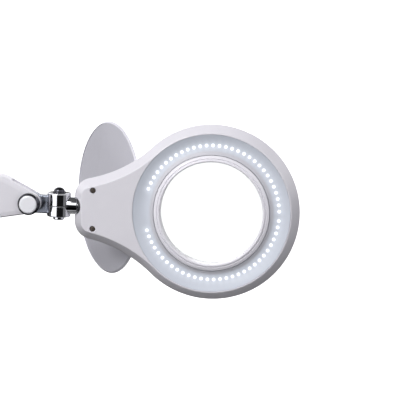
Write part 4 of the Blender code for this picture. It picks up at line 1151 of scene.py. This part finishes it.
@dataclass
class SwivelJoint:
    """The chrome stem and split barrel, with the flat link to the arm."""

    lamp: Lamp
    barrel: float = 14 * MM
    top: float = 14.5 * MM
    bottom: float = -14 * MM
    split: float = -1 * MM
    washer: float = 0.6 * MM
    bore: float = 4 * MM
    stem: float = 10.2 * MM
    shaft: float = 6 * MM
    shoulder: float = 22.9 * MM
    link_height: float = 11 * MM
    link_depth: float = 10 * MM
    link_edge: float = 1.5 * MM
    eye: float = 12.5 * MM
    gap: float = 0.3 * MM

    def __post_init__(self) -> None:
        """Puts one frame on the barrel's axis and one on the tilt axis."""
        self.at_barrel = Place(self.lamp.pivot("head_swivel"))
        self.at_tilt = Place(self.lamp.pivot("head_tilt"))
        self.link, self.drop = (self.at_barrel.origin - self.at_tilt.origin)[[0, 2]] * [1, -1]

    def half_barrel(
        self, name: str, low: float, high: float, round_low: float, round_high: float
    ) -> bpy.types.Object:
        """A length of the barrel.

        Args:
            name: The piece's name.
            low: Its lower end.
            high: Its upper end.
            round_low: The radius of its lower rim.
            round_high: The radius of its upper rim.

        Returns:
            The length of barrel.
        """
        profile = rounded(
            [
                (POLE, low, 0),
                (self.barrel, low, round_low),
                (self.barrel, high, round_high),
                (POLE, high, 0),
            ],
            closed=False,
            steps=8,
        )
        return skin(name, turned(profile, Axis.UP, 128), self.at_barrel)

    def stem_piece(self) -> None:
        """The lower half of the barrel with the stem across it."""
        high = self.split - self.washer / 2 - self.gap
        barrel = self.half_barrel("stem_with_lower_barrel", self.bottom, high, 1.4 * MM, 0.25 * MM)
        reach = float(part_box("swivel_stem")[1][0] - self.at_barrel.origin[0])
        profile = rounded(
            [
                (POLE, 0.5 * MM, 0),
                (self.stem, 0.5 * MM, 0),
                (self.stem, self.shoulder, 0.5 * MM),
                (self.shaft, self.shoulder, 0.2 * MM),
                (self.shaft, reach, 0.4 * MM),
                (POLE, reach, 0),
            ],
            closed=False,
        )
        stem = skin("stem_rod", turned(profile, Axis.ALONG, 120), self.at_barrel)
        room = bar("upper_room", self.barrel + 2 * self.gap, high, 20 * MM, self.at_barrel, Axis.UP, 128)
        shaped(stem, take=[room])
        bore = bar("bore", self.bore, -PAST, PAST, self.at_barrel, Axis.UP, 48)
        shaped(barrel, add=[stem], take=[bore])
        self.lamp.hand_over(barrel, "stem", CHROME, "chrome", "swivel_stem")
        self.lamp.keep("stem_collar", TURNED_STEEL)

    def link_outline(self, inset: float) -> Array:
        """The link's (x, z) outline: an eye's arc over the tilt axis, and a square end at the barrel."""
        radius = self.eye - inset
        top, bottom = self.link_height - self.drop - inset, -self.link_height - self.drop + inset
        eye = arc((0, 0), radius, math.asin(top / radius), 2 * math.pi + math.asin(bottom / radius), 60)
        far = self.link - inset
        lower = np.linspace((eye[-1][0], bottom), (far, bottom), 12)[1:]
        upper = np.linspace((far, top), (eye[0][0], top), 12)[:-1]
        return np.concatenate([eye, lower, upper])

    def link_piece(self) -> None:
        """The flat link, rounded along its edges, with the upper half of the barrel."""
        link = plate("link_plate", self.link_outline, self.link_depth / 2, self.link_edge, 6, self.at_tilt)
        overlap = 0.05 * MM
        room = bar("barrel_room", self.barrel - overlap, -PAST, PAST, self.at_barrel, Axis.UP, 128)
        pivot = bar("pivot_bore", PIVOT_WAY, -PAST, PAST, self.at_tilt, Axis.ACROSS, 48)
        shaped(link, take=[room, pivot])
        self.lamp.hand_over(link, "link", SATIN_ZINC, "blue_grey_metal", "swivel_link")
        low = self.split + self.washer / 2 + self.gap
        barrel = self.half_barrel("upper_barrel", low, self.top, 0.25 * MM, 1.4 * MM)
        bore = bar("bolt_bore", self.bore, -PAST, PAST, self.at_barrel, Axis.UP, 48)
        shaped(barrel, take=[bore])
        self.lamp.hand_over(barrel, "link", CHROME, "chrome", "swivel_link")

    def fasteners(self) -> None:
        """The thin washer in the split, the domed bolt on top and the round nut below."""
        half = self.washer / 2
        ring = rounded(
            [
                (self.bore, self.split - half, 0),
                (self.barrel, self.split - half, 0.2 * MM),
                (self.barrel, self.split + half, 0.2 * MM),
                (self.bore, self.split + half, 0),
            ]
        )
        washer = skin("split_washer", turned(ring, Axis.UP, 96), self.at_barrel, ring=True)
        self.lamp.hand_over(washer, "link", TURNED_STEEL, "steel", "swivel_washer")
        seat, tail, shank_radius = self.top + self.gap, self.bottom - 4.3 * MM, 3.7 * MM
        turn = np.linspace(0, math.pi / 2 - 0.02, 16)
        dome = np.stack([6.5 * MM * np.cos(turn), seat + 1.4 * MM + 4.8 * MM * np.sin(turn)], axis=1)
        shank = rounded(
            [
                (POLE, tail, 0),
                (shank_radius, tail, 0.5 * MM),
                (shank_radius, seat, 0),
                (8 * MM, seat, 0.2 * MM),
                (8 * MM, seat + 1.2 * MM, 0.5 * MM),
                (6.6 * MM, seat + 1.3 * MM, 0),
            ],
            closed=False,
        )
        bolt = skin("domed_swivel_bolt", turned(np.concatenate([shank, dome]), Axis.UP, 72), self.at_barrel)
        # The bolt's head: chrome painted several stops darker, for painted dark reflections
        self.lamp.hand_over(bolt, "link", CHROME_PAINTED_DARK, "chrome", "swivel_bolt")
        low, high = self.bottom - 4 * MM, self.bottom - self.gap
        round_nut = 6.5 * MM
        collar = rounded(
            [
                (self.bore, low, 0.2 * MM),
                (round_nut, low, 1.2 * MM),
                (round_nut, high, 0.3 * MM),
                (self.bore, high, 0.2 * MM),
            ]
        )
        nut = skin("round_swivel_nut", turned(collar, Axis.UP, 64), self.at_barrel, ring=True)
        self.lamp.hand_over(nut, "link", CHROME, "chrome", "swivel_nut")

    def build(self) -> None:
        """Makes the joint's five pieces."""
        self.stem_piece()
        self.link_piece()
        self.fasteners()


@dataclass
class PivotKnob:
    """A chrome locking knob with a white inlay, on its bolt and nut."""

    lamp: Lamp
    name: str
    joint: str
    radius: float = 13 * MM
    height: float = 12 * MM
    cap: float = 10.4 * MM
    face: float = 12.5 * MM
    gap: float = 0.3 * MM

    def __post_init__(self) -> None:
        """Puts the frame on the knob's axis."""
        self.place = Place(self.lamp.pivot(self.joint))

    def build(self) -> None:
        """The knob's rounded rim, the cap inside it, and the kept bolt and nut."""
        base = -self.face - self.gap
        top = base - self.height
        recess = top + 2.4 * MM
        bolt_end = base - self.height / 2 - self.gap
        profile = rounded(
            [
                (PIVOT_WAY, base, 0.2 * MM),
                (0.8 * self.radius, base, 0.6 * MM),
                (self.radius, base - 0.2 * self.height, 1.6 * MM),
                (self.radius, base - 0.78 * self.height, 2.2 * MM),
                (self.cap + 1.1 * MM, top, 1.0 * MM),
                (self.cap + self.gap, top + 0.2 * MM, 0.2 * MM),
                (self.cap + self.gap, recess, 0),
                (2 * MM, recess, 0),
                (2 * MM, bolt_end, 0),
                (PIVOT_WAY, bolt_end, 0),
            ],
            steps=7,
        )
        knob = skin(f"{self.name}_knob_ring", turned(profile, Axis.ACROSS, 96), self.place, ring=True)
        # The knob's rim: chrome painted several stops darker, for painted dark reflections
        self.lamp.hand_over(knob, f"{self.name}_knob", CHROME_PAINTED_DARK, "chrome", f"{self.name}_knob")
        face = rounded(
            [
                (POLE, recess - self.gap, 0),
                (self.cap, recess - self.gap, 0.2 * MM),
                (self.cap, top + 0.35 * MM, 0.3 * MM),
                (0.86 * self.cap, top - 0.3 * MM, 0.5 * MM),
                (0.62 * self.cap, top - 0.3 * MM, 0),
                (POLE, top - 0.22 * MM, 0),
            ],
            closed=False,
        )
        cap = skin(f"{self.name}_knob_inlay", turned(face, Axis.ACROSS, 96), self.place)
        self.lamp.hand_over(cap, f"{self.name}_knob", GLOSS_ABS, "white_shell", f"{self.name}_knob_cap")
        self.lamp.keep(f"{self.name}_bolt", TURNED_STEEL)
        self.lamp.keep(f"{self.name}_nut", TURNED_STEEL)


@dataclass
class Arm:
    """An arm's two moulded shells round its bar."""

    lamp: Lamp
    name: str
    start: str
    end: str
    depth: float = 25 * MM
    wall: float = 2.4 * MM
    chamfer: float = 3.5 * MM
    band: float = 6 * MM
    band_drop: float = 0.7 * MM
    lip: float = 1.2 * MM
    tip: float = 12.5 * MM
    shoulder: float = 26 * MM
    shoulder_back: float = 42 * MM
    root: float = 20 * MM
    root_gap: float = 20 * MM
    notch: float = 28 * MM
    cheek: float = 5.6 * MM
    screw_back: float = 90 * MM
    screw_height: float = 14 * MM

    def __post_init__(self) -> None:
        """Runs local x from the arm's own pivot to the pivot at its tip."""
        start, end = self.lamp.pivot(self.start), self.lamp.pivot(self.end)
        self.length = float(np.linalg.norm(end - start))
        self.place = Place(start, (end - start) / self.length)

    def outline(self, inset: float) -> Array:
        """The belt round the arm's three circles, drawn in by an inset."""
        return belt(
            [
                (self.root_gap + self.root, self.root - inset),
                (self.length - self.shoulder_back, self.shoulder - inset),
                (self.length, self.tip - inset),
            ],
            40,
        )

    def half(self, label: str, side: float) -> bpy.types.Object:
        """One shell: rounded chamfer outside, hollow inside, open at the notch.

        Args:
            label: front or rear.
            side: -1 for the front and 1 for the rear.

        Returns:
            The shell.
        """
        outer, seam = self.depth / 2, 0.15 * MM
        section = rounded(
            [
                (2.2 * self.chamfer, outer, 0),
                (self.band, outer, 0.8 * MM),
                (self.lip, outer - self.band_drop, 1.1 * MM),
                (0, outer - self.chamfer, 1.4 * MM),
                (0, seam, 0.25 * MM),
                (0.6 * MM, seam, 0),
            ],
            closed=False,
            steps=6,
        )
        layers = [(self.outline(inset), side * y) for inset, y in section[1:-1]]
        near = (self.outline(section[1][0] + 0.5 * MM), side * outer)
        shell = skin(f"{self.name}_{label}_moulding", loft([near, *layers]), self.place)
        room = self.shoulder - 2 * self.wall
        end = self.length - self.notch - self.wall - room
        hollow = belt([(self.root_gap + self.root, self.root - self.wall), (end, room)], 40)
        floor, slot, tall = outer - self.wall, 2.8 * MM, 9.6 * MM
        take = [
            skin("hollow", loft([(hollow, side * floor), (hollow, -side * 20 * MM)]), self.place),
            block(
                "notch",
                (self.length - self.notch, -self.cheek, -60 * MM),
                (self.length + 30 * MM, self.cheek, 60 * MM),
                self.place,
            ),
            block("root_slot", (0, -slot, -tall), (self.root_gap + 10 * MM, slot, tall), self.place, 2 * MM),
            bar("pivot_hole", PIVOT_WAY, -PAST, PAST, self.place.moved(x=self.length), Axis.ACROSS, 48),
        ]
        return shaped(shell, take=take)

    def screw_places(self) -> list[Place]:
        """The frames of the arm's two screws."""
        along = (self.screw_back, self.length - self.screw_back)
        return [self.place.moved(x=x, z=self.screw_height) for x in along]

    def build(self) -> None:
        """Both shells, the bosses behind the screw heads, and the kept bar and screws."""
        front = self.half("front", -1.0)
        self.lamp.hand_over(front, self.name, SHELL_ABS, "white_shell", f"{self.name}_front_shell")
        rear = self.half("rear", 1.0)
        outer = self.depth / 2
        bosses, bores = [], []
        for number, place in enumerate(self.screw_places()):
            top, seat, above = outer - 1.2 * MM, outer - 3.7 * MM, outer + 5 * MM
            bosses.append(bar(f"boss_{number}", 4.7 * MM, 0.15 * MM, top, place, Axis.ACROSS, 40))
            bores.append(bar(f"bore_{number}", 3.5 * MM, seat, above, place, Axis.ACROSS, 48))
            bores.append(bar(f"shank_{number}", 1.8 * MM, -5 * MM, outer, place, Axis.ACROSS, 32))
        if self.name == "lower_arm":
            inlet, inlet_way = Place(self.lamp.middle("dc_inlet") * [1, 0, 1]), 4.3 * MM
            bores.append(bar("inlet", inlet_way, outer / 3, 2 * outer, inlet, Axis.ACROSS, 64))
        shaped(rear, add=bosses, take=bores)
        self.lamp.hand_over(rear, self.name, SHELL_ABS, "white_shell", f"{self.name}_rear_shell")
        self.lamp.keep(f"{self.name}_spine", BAR_ALUMINIUM)
        for number in (1, 2):
            self.lamp.keep(f"{self.name}_screw_{number}", BLACK_OXIDE)


@dataclass
class BaseFork:
    """The chromed fork on its swivel post."""

    lamp: Lamp
    radius: float = 13.7 * MM
    depth: float = 25 * MM
    floor: float = 21 * MM
    foot: float = 29 * MM
    foot_radius: float = 15 * MM
    post: float = 8 * MM
    cheek: float = 5.6 * MM
    edge: float = 1.2 * MM

    def __post_init__(self) -> None:
        """Puts the frame on the lower arm's pivot."""
        self.place = Place(self.lamp.pivot("lower_arm_tilt"))

    def outline(self, inset: float) -> Array:
        """A half circle over straight sides, drawn in by an inset."""
        radius = self.radius - inset
        top = arc((0, 0), radius, 0, math.pi, 49)
        side = np.linspace((-radius, 0), (-radius, -self.foot + 0.3 * MM), 10)[1:]
        return np.concatenate([top, side, (side * [-1, 1])[::-1]])

    def build(self) -> None:
        """The cheeks with rounded edges, the round foot and the post."""
        fork = plate("swivel_fork", self.outline, self.depth / 2, self.edge, 5, self.place)
        low = float(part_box("base_fork")[0][2] - self.place.origin[2])
        profile = rounded(
            [
                (POLE, low, 0),
                (self.post, low, 0.8 * MM),
                (self.post, -self.foot, 0.3 * MM),
                (self.foot_radius, -self.foot, 0.8 * MM),
                (self.foot_radius, -self.floor - 0.3 * MM, 1.2 * MM),
                (POLE, -self.floor - 0.3 * MM, 0),
            ],
            closed=False,
        )
        post = skin("post", turned(profile, Axis.UP, 96), self.place)
        past = 40 * MM
        take = [
            block("slot", (-past, -self.cheek, -self.floor), (past, self.cheek, past), self.place),
            bar("hole", PIVOT_WAY, -past, past, self.place, Axis.ACROSS, 48),
        ]
        shaped(fork, add=[post], take=take)
        self.lamp.hand_over(fork, "base", CHROME, "chrome", "base_fork")


@dataclass
class DeskClamp:
    """The C-shaped frame, its screw with a T-handle, and the pads."""

    lamp: Lamp
    width: float = 44 * MM
    back: float = -38 * MM
    spine: float = 12 * MM
    jaw_low: float = 1.8 * MM
    jaw: float = 11 * MM
    reach: float = 36 * MM
    throat: float = 62 * MM
    lower_jaw: float = 12 * MM
    boss: float = 15 * MM
    boss_top: float = 40 * MM
    screw: float = 5 * MM
    pitch: float = 2 * MM
    thread: float = 0.55 * MM
    edge: float = 1.8 * MM

    def __post_init__(self) -> None:
        """The clamp's frame is the lamp's own."""
        self.place = Place(np.zeros(3))

    def outline(self, inset: float) -> Array:
        """The C of the frame with its corners rounded, drawn in by an inset."""
        top, low = self.jaw_low + self.jaw, -self.throat - self.lower_jaw
        inner, lower_reach, fillet = self.back + self.spine, self.reach - 10 * MM, 5 * MM
        corners = [
            (self.reach - inset, self.jaw_low + inset, 1.5 * MM),
            (self.reach - inset, top - inset, 3 * MM),
            (self.back + inset, top - inset, 7 * MM - inset),
            (self.back + inset, low + inset, 7 * MM - inset),
            (lower_reach - inset, low + inset, 3 * MM),
            (lower_reach - inset, -self.throat - inset, 1.5 * MM),
            (inner - inset, -self.throat - inset, fillet + inset),
            (inner - inset, self.jaw_low + inset, fillet + inset),
        ]
        return rounded(corners, steps=8)

    def frame_piece(self) -> None:
        """The frame with its rounded edges, and the boss the post turns in."""
        body = plate("clamp_frame", self.outline, self.width / 2, self.edge, 5, self.place)
        tower = rounded(
            [
                (POLE, self.jaw_low + self.jaw / 2, 0),
                (self.boss, self.jaw_low + self.jaw / 2, 0),
                (self.boss, self.boss_top, 1.5 * MM),
                (POLE, self.boss_top, 0),
            ],
            closed=False,
        )
        boss = skin("boss", turned(tower, Axis.UP, 96), self.place)
        take = [
            bar("post_bore", 10.4 * MM, 12 * MM, 60 * MM, self.place, Axis.UP, 96),
            bar("screw_bore", self.screw + 0.3 * MM, -120 * MM, -31 * MM, self.place, Axis.UP, 64),
        ]
        shaped(body, add=[boss], take=take)
        self.lamp.hand_over(body, "clamp", POWDER_COAT, "clamp_paint", "clamp_body")
        self.lamp.keep("post_bush", BLACK_NYLON)
        self.lamp.keep("jaw_pad", RUBBER)

    def screw_piece(self) -> None:
        """The threaded screw.

        The thread's radius is the core's plus a ridge that rises and falls once in each pitch: a
        clipped triangle wave of height over pitch less the turn's share.
        """
        low, high = (float(corner[2]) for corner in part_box("clamp_screw"))
        hub = 7.2 * MM
        start, end = low + 2.1 * hub, high - 1.6 * MM
        rows = int((end - start) / self.pitch * 12)
        height = np.linspace(start, end, rows)
        turn = np.linspace(0, 2 * math.pi, 48, endpoint=False)
        phase = (height[:, None] / self.pitch - turn / (2 * math.pi)) % 1.0
        ridge = np.clip(2.6 * (0.5 - np.abs(phase - 0.5)) - 0.15, 0, 1)
        fade = np.clip(np.minimum(height - start, end - height) / self.pitch, 0, 1)[:, None]
        radius = self.screw - self.thread * (1 - ridge) * fade
        level = np.broadcast_to(height[:, None], radius.shape)
        shank = np.stack([radius * np.cos(turn), radius * np.sin(turn), level], axis=-1)
        foot = rounded(
            [
                (POLE, low, 0),
                (hub, low, 1.2 * MM),
                (hub, low + 1.7 * hub, 1.2 * MM),
                (self.screw, low + 2 * hub, 0.4 * MM),
                (self.screw, low + 2.08 * hub, 0),
            ],
            closed=False,
        )
        nose = np.array([(0.96 * self.screw, end + 0.2 * MM), (0.72 * self.screw, high), (POLE, high)])
        grid = np.concatenate([turned(foot, Axis.UP, 48), shank, turned(nose, Axis.UP, 48)])
        screw = skin("feed_screw", grid, self.place)
        across = self.place.moved(z=low + hub)
        shaped(screw, take=[bar("handle_way", 3.3 * MM, -PAST, PAST, across, Axis.ALONG, 40)])
        self.lamp.hand_over(screw, "clamp_screw", CHROME, "chrome", "clamp_screw")
        reach, ball, rod = 32 * MM, 4.8 * MM, 3 * MM
        side = rounded(
            [
                (POLE, reach, 0),
                (0.8 * ball, reach, 1.6 * MM),
                (ball, reach - 0.5 * ball, 1.6 * MM),
                (ball, reach - ball, 0.8 * MM),
                (rod, reach - 1.25 * ball, 0.5 * MM),
                (rod, 0, 0),
            ],
            closed=False,
        )
        profile = np.concatenate([side * [1, -1], side[::-1][1:]])
        handle = skin("tommy_bar", turned(profile, Axis.ALONG, 48), across)
        self.lamp.hand_over(handle, "clamp_screw", CHROME, "chrome", "clamp_handle")

    def pad_piece(self) -> None:
        """The pressure pad: ribbed in rings on its working face."""
        low, high = (float(corner[2]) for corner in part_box("clamp_pad"))
        radius = np.linspace(0.01, 0.88, 60) * 16 * MM
        ribs = -0.25 * MM * (0.5 + 0.5 * np.cos(2 * math.pi * radius / (2.4 * MM)))
        face = np.stack([radius, high + ribs], axis=1)
        under = rounded(
            [
                (14.3 * MM, high, 0),
                (16 * MM, high - 1.5 * MM, 0.8 * MM),
                (16 * MM, (low + high) / 2, 0.8 * MM),
                (9.6 * MM, low, 0.8 * MM),
                (POLE, low, 0),
            ],
            closed=False,
        )
        pad = skin("pressure_pad", turned(np.concatenate([face, under]), Axis.UP, 96), self.place)
        self.lamp.hand_over(pad, "clamp_pad", RUBBER, "rubber", "clamp_pad")

    def build(self) -> None:
        """Makes the clamp."""
        self.frame_piece()
        self.screw_piece()
        self.pad_piece()


# ---------------------------------------------------------------- studio


@dataclass
class Studio:
    """A pale floor, soft light and the camera in front of the head.

    Each ramp is a list of (position, grey). The position runs from straight down to straight up for
    ceiling, horizon and caps, and once round the horizon for panels.
    """

    lamp: Lamp
    view_mm: tuple[float, float, float] = (97.35, -1494.5, 208.8)
    right: tuple[float, float, float] = (0.99640, 0.07371, 0.04193)
    back: tuple[float, float, float] = (0.06746, -0.98858, 0.13475)
    focal_mm: float = 110.23
    cool: float = 1.02
    ceiling: tuple[tuple[float, float], ...] = (
        (0.0, 0.16),
        (0.35, 0.2),
        (0.48, 0.30),
        (0.53, 0.40),
        (0.62, 0.6),
        (0.8, 0.85),
        (1.0, 1.0),
    )
    panels: tuple[tuple[float, float], ...] = (
        (0.0, 0.01),
        (0.030, 0.01),
        (0.042, 1.6),
        (0.188, 1.6),
        (0.20, 0.06),
        (0.33, 0.04),
        (0.35, 0.01),
        (0.56, 0.01),
        (0.58, 0.17),
        (0.845, 0.2),
        (0.858, 0.01),
        (1.0, 0.01),
    )
    caps: tuple[tuple[float, float], ...] = (
        (0.0, 0.01),
        (0.022, 0.4),
        (0.05, 0.4),
        (0.07, 0.0),
        (0.56, 0.0),
        (0.60, 1.5),
        (0.80, 1.5),
        (0.84, 0.1),
        (1.0, 0.1),
    )

    horizon: tuple[tuple[float, float], ...] = (
        (0.0, 0.0),
        (0.26, 0.0),
        (0.31, 1.0),
        (0.60, 1.0),
        (0.66, 0.0),
    )

    def fill_ramp(self, ramp: Any, stops: Sequence[tuple[float, float]]) -> None:
        """Fills a colour ramp with greys.

        Args:
            ramp: The ramp.
            stops: (position, grey) of each stop.
        """
        while len(ramp.elements) < len(stops):
            ramp.elements.new(0.5)
        for stop, (place, shade) in zip(ramp.elements, stops):
            stop.position = place
            stop.color = (shade, shade, self.cool * shade, 1)

    def camera(self) -> None:
        """Stands the camera before the lens's centre, rolled as the head looks in the view."""
        swivel, lens = self.lamp.pivot("head_swivel"), self.lamp.middle("magnifier_lens")
        place = Vector((lens[0], swivel[1], swivel[2])) + Vector(self.view_mm) * MM
        back = Vector(self.back).normalized()
        right = (Vector(self.right) - back * Vector(self.right).dot(back)).normalized()
        up = back.cross(right)
        data = bpy.data.cameras.new("camera")
        data.lens = self.focal_mm
        data.sensor_width = 36.0
        data.clip_end = 50.0
        camera = bpy.data.objects.new("camera", data)
        turn = Matrix((right, up, back)).transposed().to_4x4()
        camera.matrix_world = Matrix.Translation(place) @ turn
        bpy.context.scene.collection.objects.link(camera)
        bpy.context.scene.camera = camera

    def floor(self) -> None:
        """A wide pale floor just below the clamp's handle."""
        low = float(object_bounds()[0][2]) - 3 * MM
        reach = 12.0
        outline = np.array([(-reach, -reach), (reach, -reach), (reach, reach), (-reach, reach)])
        rows = [np.stack([outline[:, 0], outline[:, 1], np.full(4, z)], axis=1) for z in (low - 0.01, low)]
        floor = skin("floor", np.stack(rows), Place(np.zeros(3)))
        material = bpy.data.materials.new("pale_floor")
        material.use_nodes = True
        shader = material.node_tree.nodes["Principled BSDF"]
        shader.inputs["Base Color"].default_value = linear("#f4f4f4")
        shader.inputs["Roughness"].default_value = 0.9
        shader.inputs["Emission Color"].default_value = (1, 1, 1, 1)
        shader.inputs["Emission Strength"].default_value = 0.78
        floor.data.materials.append(material)
        floor.visible_diffuse = False
        floor.visible_glossy = False
        floor.visible_transmission = False
        floor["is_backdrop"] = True

    def light(
        self, name: str, place: Array, aim: Array, size: float, power: float, mirrored: bool = False
    ) -> None:
        """One soft square lamp.

        Args:
            name: Its name.
            place: Where it stands.
            aim: What it points at.
            size: Its side.
            power: Its power in watts.
            mirrored: Whether polished surfaces show it.
        """
        data = bpy.data.lights.new(name, "AREA")
        data.shape = "SQUARE"
        data.size = size
        data.energy = power
        light = bpy.data.objects.new(name, data)
        light.location = place
        light.rotation_euler = (Vector(aim) - Vector(place)).to_track_quat("-Z", "Y").to_euler()
        light.visible_camera = False
        light.visible_glossy = mirrored
        bpy.context.scene.collection.objects.link(light)

    def sky(self) -> None:
        """Sets up the surroundings, which differ by how they are seen.

        They are white to the eye and through the glass. They light the lamp as a ceiling that darkens
        downwards. Polished metal mirrors upright panels near the horizon, under a bright band.
        """
        world = bpy.data.worlds.new("tent")
        bpy.context.scene.world = world
        world.use_nodes = True
        tree = world.node_tree
        tree.nodes.clear()
        direction = add(tree, "ShaderNodeTexCoord")
        apart = add(tree, "ShaderNodeSeparateXYZ", None, {"Vector": direction.outputs["Generated"]})
        ramp = add(tree, "ShaderNodeValToRGB")
        self.fill_ramp(ramp.color_ramp, self.ceiling)
        half = add(
            tree,
            "ShaderNodeMapRange",
            {"From Min": -1.0, "From Max": 1.0},
            {"Value": apart.outputs["Z"]},
        )
        tree.links.new(half.outputs["Result"], ramp.inputs["Fac"])
        tent = add(tree, "ShaderNodeBackground", {"Strength": 0.8}, {"Color": ramp.outputs["Color"]})
        azimuth = add(
            tree,
            "ShaderNodeMath",
            {"operation": "ARCTAN2"},
            {"Value": apart.outputs["X"], "Value_001": apart.outputs["Y"]},
        )
        around = add(
            tree,
            "ShaderNodeMapRange",
            {"From Min": -math.pi, "From Max": math.pi},
            {"Value": azimuth.outputs["Value"]},
        )
        panels = add(tree, "ShaderNodeValToRGB")
        self.fill_ramp(panels.color_ramp, self.panels)
        tree.links.new(around.outputs["Result"], panels.inputs["Fac"])
        level = add(tree, "ShaderNodeValToRGB")
        self.fill_ramp(level.color_ramp, self.horizon)
        tree.links.new(half.outputs["Result"], level.inputs["Fac"])
        standing = add(
            tree,
            "ShaderNodeMix",
            {"data_type": "RGBA", "blend_type": "MULTIPLY", "Factor_Float": 1.0},
            {"A_Color": panels.outputs["Color"], "B_Color": level.outputs["Color"]},
        )
        lids = add(tree, "ShaderNodeValToRGB")
        self.fill_ramp(lids.color_ramp, self.caps)
        tree.links.new(half.outputs["Result"], lids.inputs["Fac"])
        shade = add(
            tree,
            "ShaderNodeMix",
            {"data_type": "RGBA", "blend_type": "LIGHTEN", "Factor_Float": 1.0},
            {"A_Color": socket(standing.outputs, "Result_Color"), "B_Color": lids.outputs["Color"]},
        )
        seen_in_chrome = socket(shade.outputs, "Result_Color")
        mirrored = add(tree, "ShaderNodeBackground", {"Strength": 1.0}, {"Color": seen_in_chrome})
        plain = add(tree, "ShaderNodeBackground", {"Color": (1, 1, 1, 1), "Strength": 1.12})
        path = add(tree, "ShaderNodeLightPath")
        seen = add(
            tree,
            "ShaderNodeMath",
            {"operation": "MAXIMUM"},
            {"Value": path.outputs["Is Camera Ray"], "Value_001": path.outputs["Is Transmission Ray"]},
        )
        lit = add(tree, "ShaderNodeMixShader", None, {"Fac": path.outputs["Is Glossy Ray"]})
        tree.links.new(tent.outputs["Background"], lit.inputs[1])
        tree.links.new(mirrored.outputs["Background"], lit.inputs[2])
        mix = add(tree, "ShaderNodeMixShader", None, {"Fac": seen.outputs["Value"]})
        tree.links.new(lit.outputs["Shader"], mix.inputs[1])
        tree.links.new(plain.outputs["Background"], mix.inputs[2])
        add(tree, "ShaderNodeOutputWorld", None, {"Surface": mix.outputs["Shader"]})

    def build(self) -> None:
        """Sets up the whole studio."""
        head = self.lamp.middle("magnifier_lens")
        self.camera()
        self.floor()
        self.light("key", head + [-0.9, -1.3, 1.1], head, 0.9, 23.0, mirrored=True)
        self.light("fill", head + [0.7, -1.6, 0.2], head, 1.2, 5.0)
        self.light("low", head + [-1.8, -1.0, -0.7], head - [0.12, 0, 0], 0.9, 11.0)
        self.light("rear", head + [-0.3, 1.4, 1.0], head, 1.2, 14.0)
        self.sky()
        bpy.context.scene.view_settings.view_transform = "Standard"


def main() -> None:
    """Builds the lamp on its frame, then the studio, and hands everything over."""
    logging.basicConfig(level=logging.INFO, format="%(name)s: %(message)s")
    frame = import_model()
    lamp = Lamp(frame)
    Head(lamp).build()
    Cover(lamp).build()
    SwivelJoint(lamp).build()
    for name, joint in (("tilt", "head_tilt"), ("elbow", "elbow_fold"), ("base", "lower_arm_tilt")):
        PivotKnob(lamp, name, joint).build()
    Arm(lamp, "forearm", "elbow_fold", "head_tilt").build()
    Arm(lamp, "lower_arm", "lower_arm_tilt", "elbow_fold").build()
    lamp.keep("dc_inlet", BLACK_NYLON)
    BaseFork(lamp).build()
    DeskClamp(lamp).build()
    Studio(lamp).build()


if __name__ == "__main__":
    main()
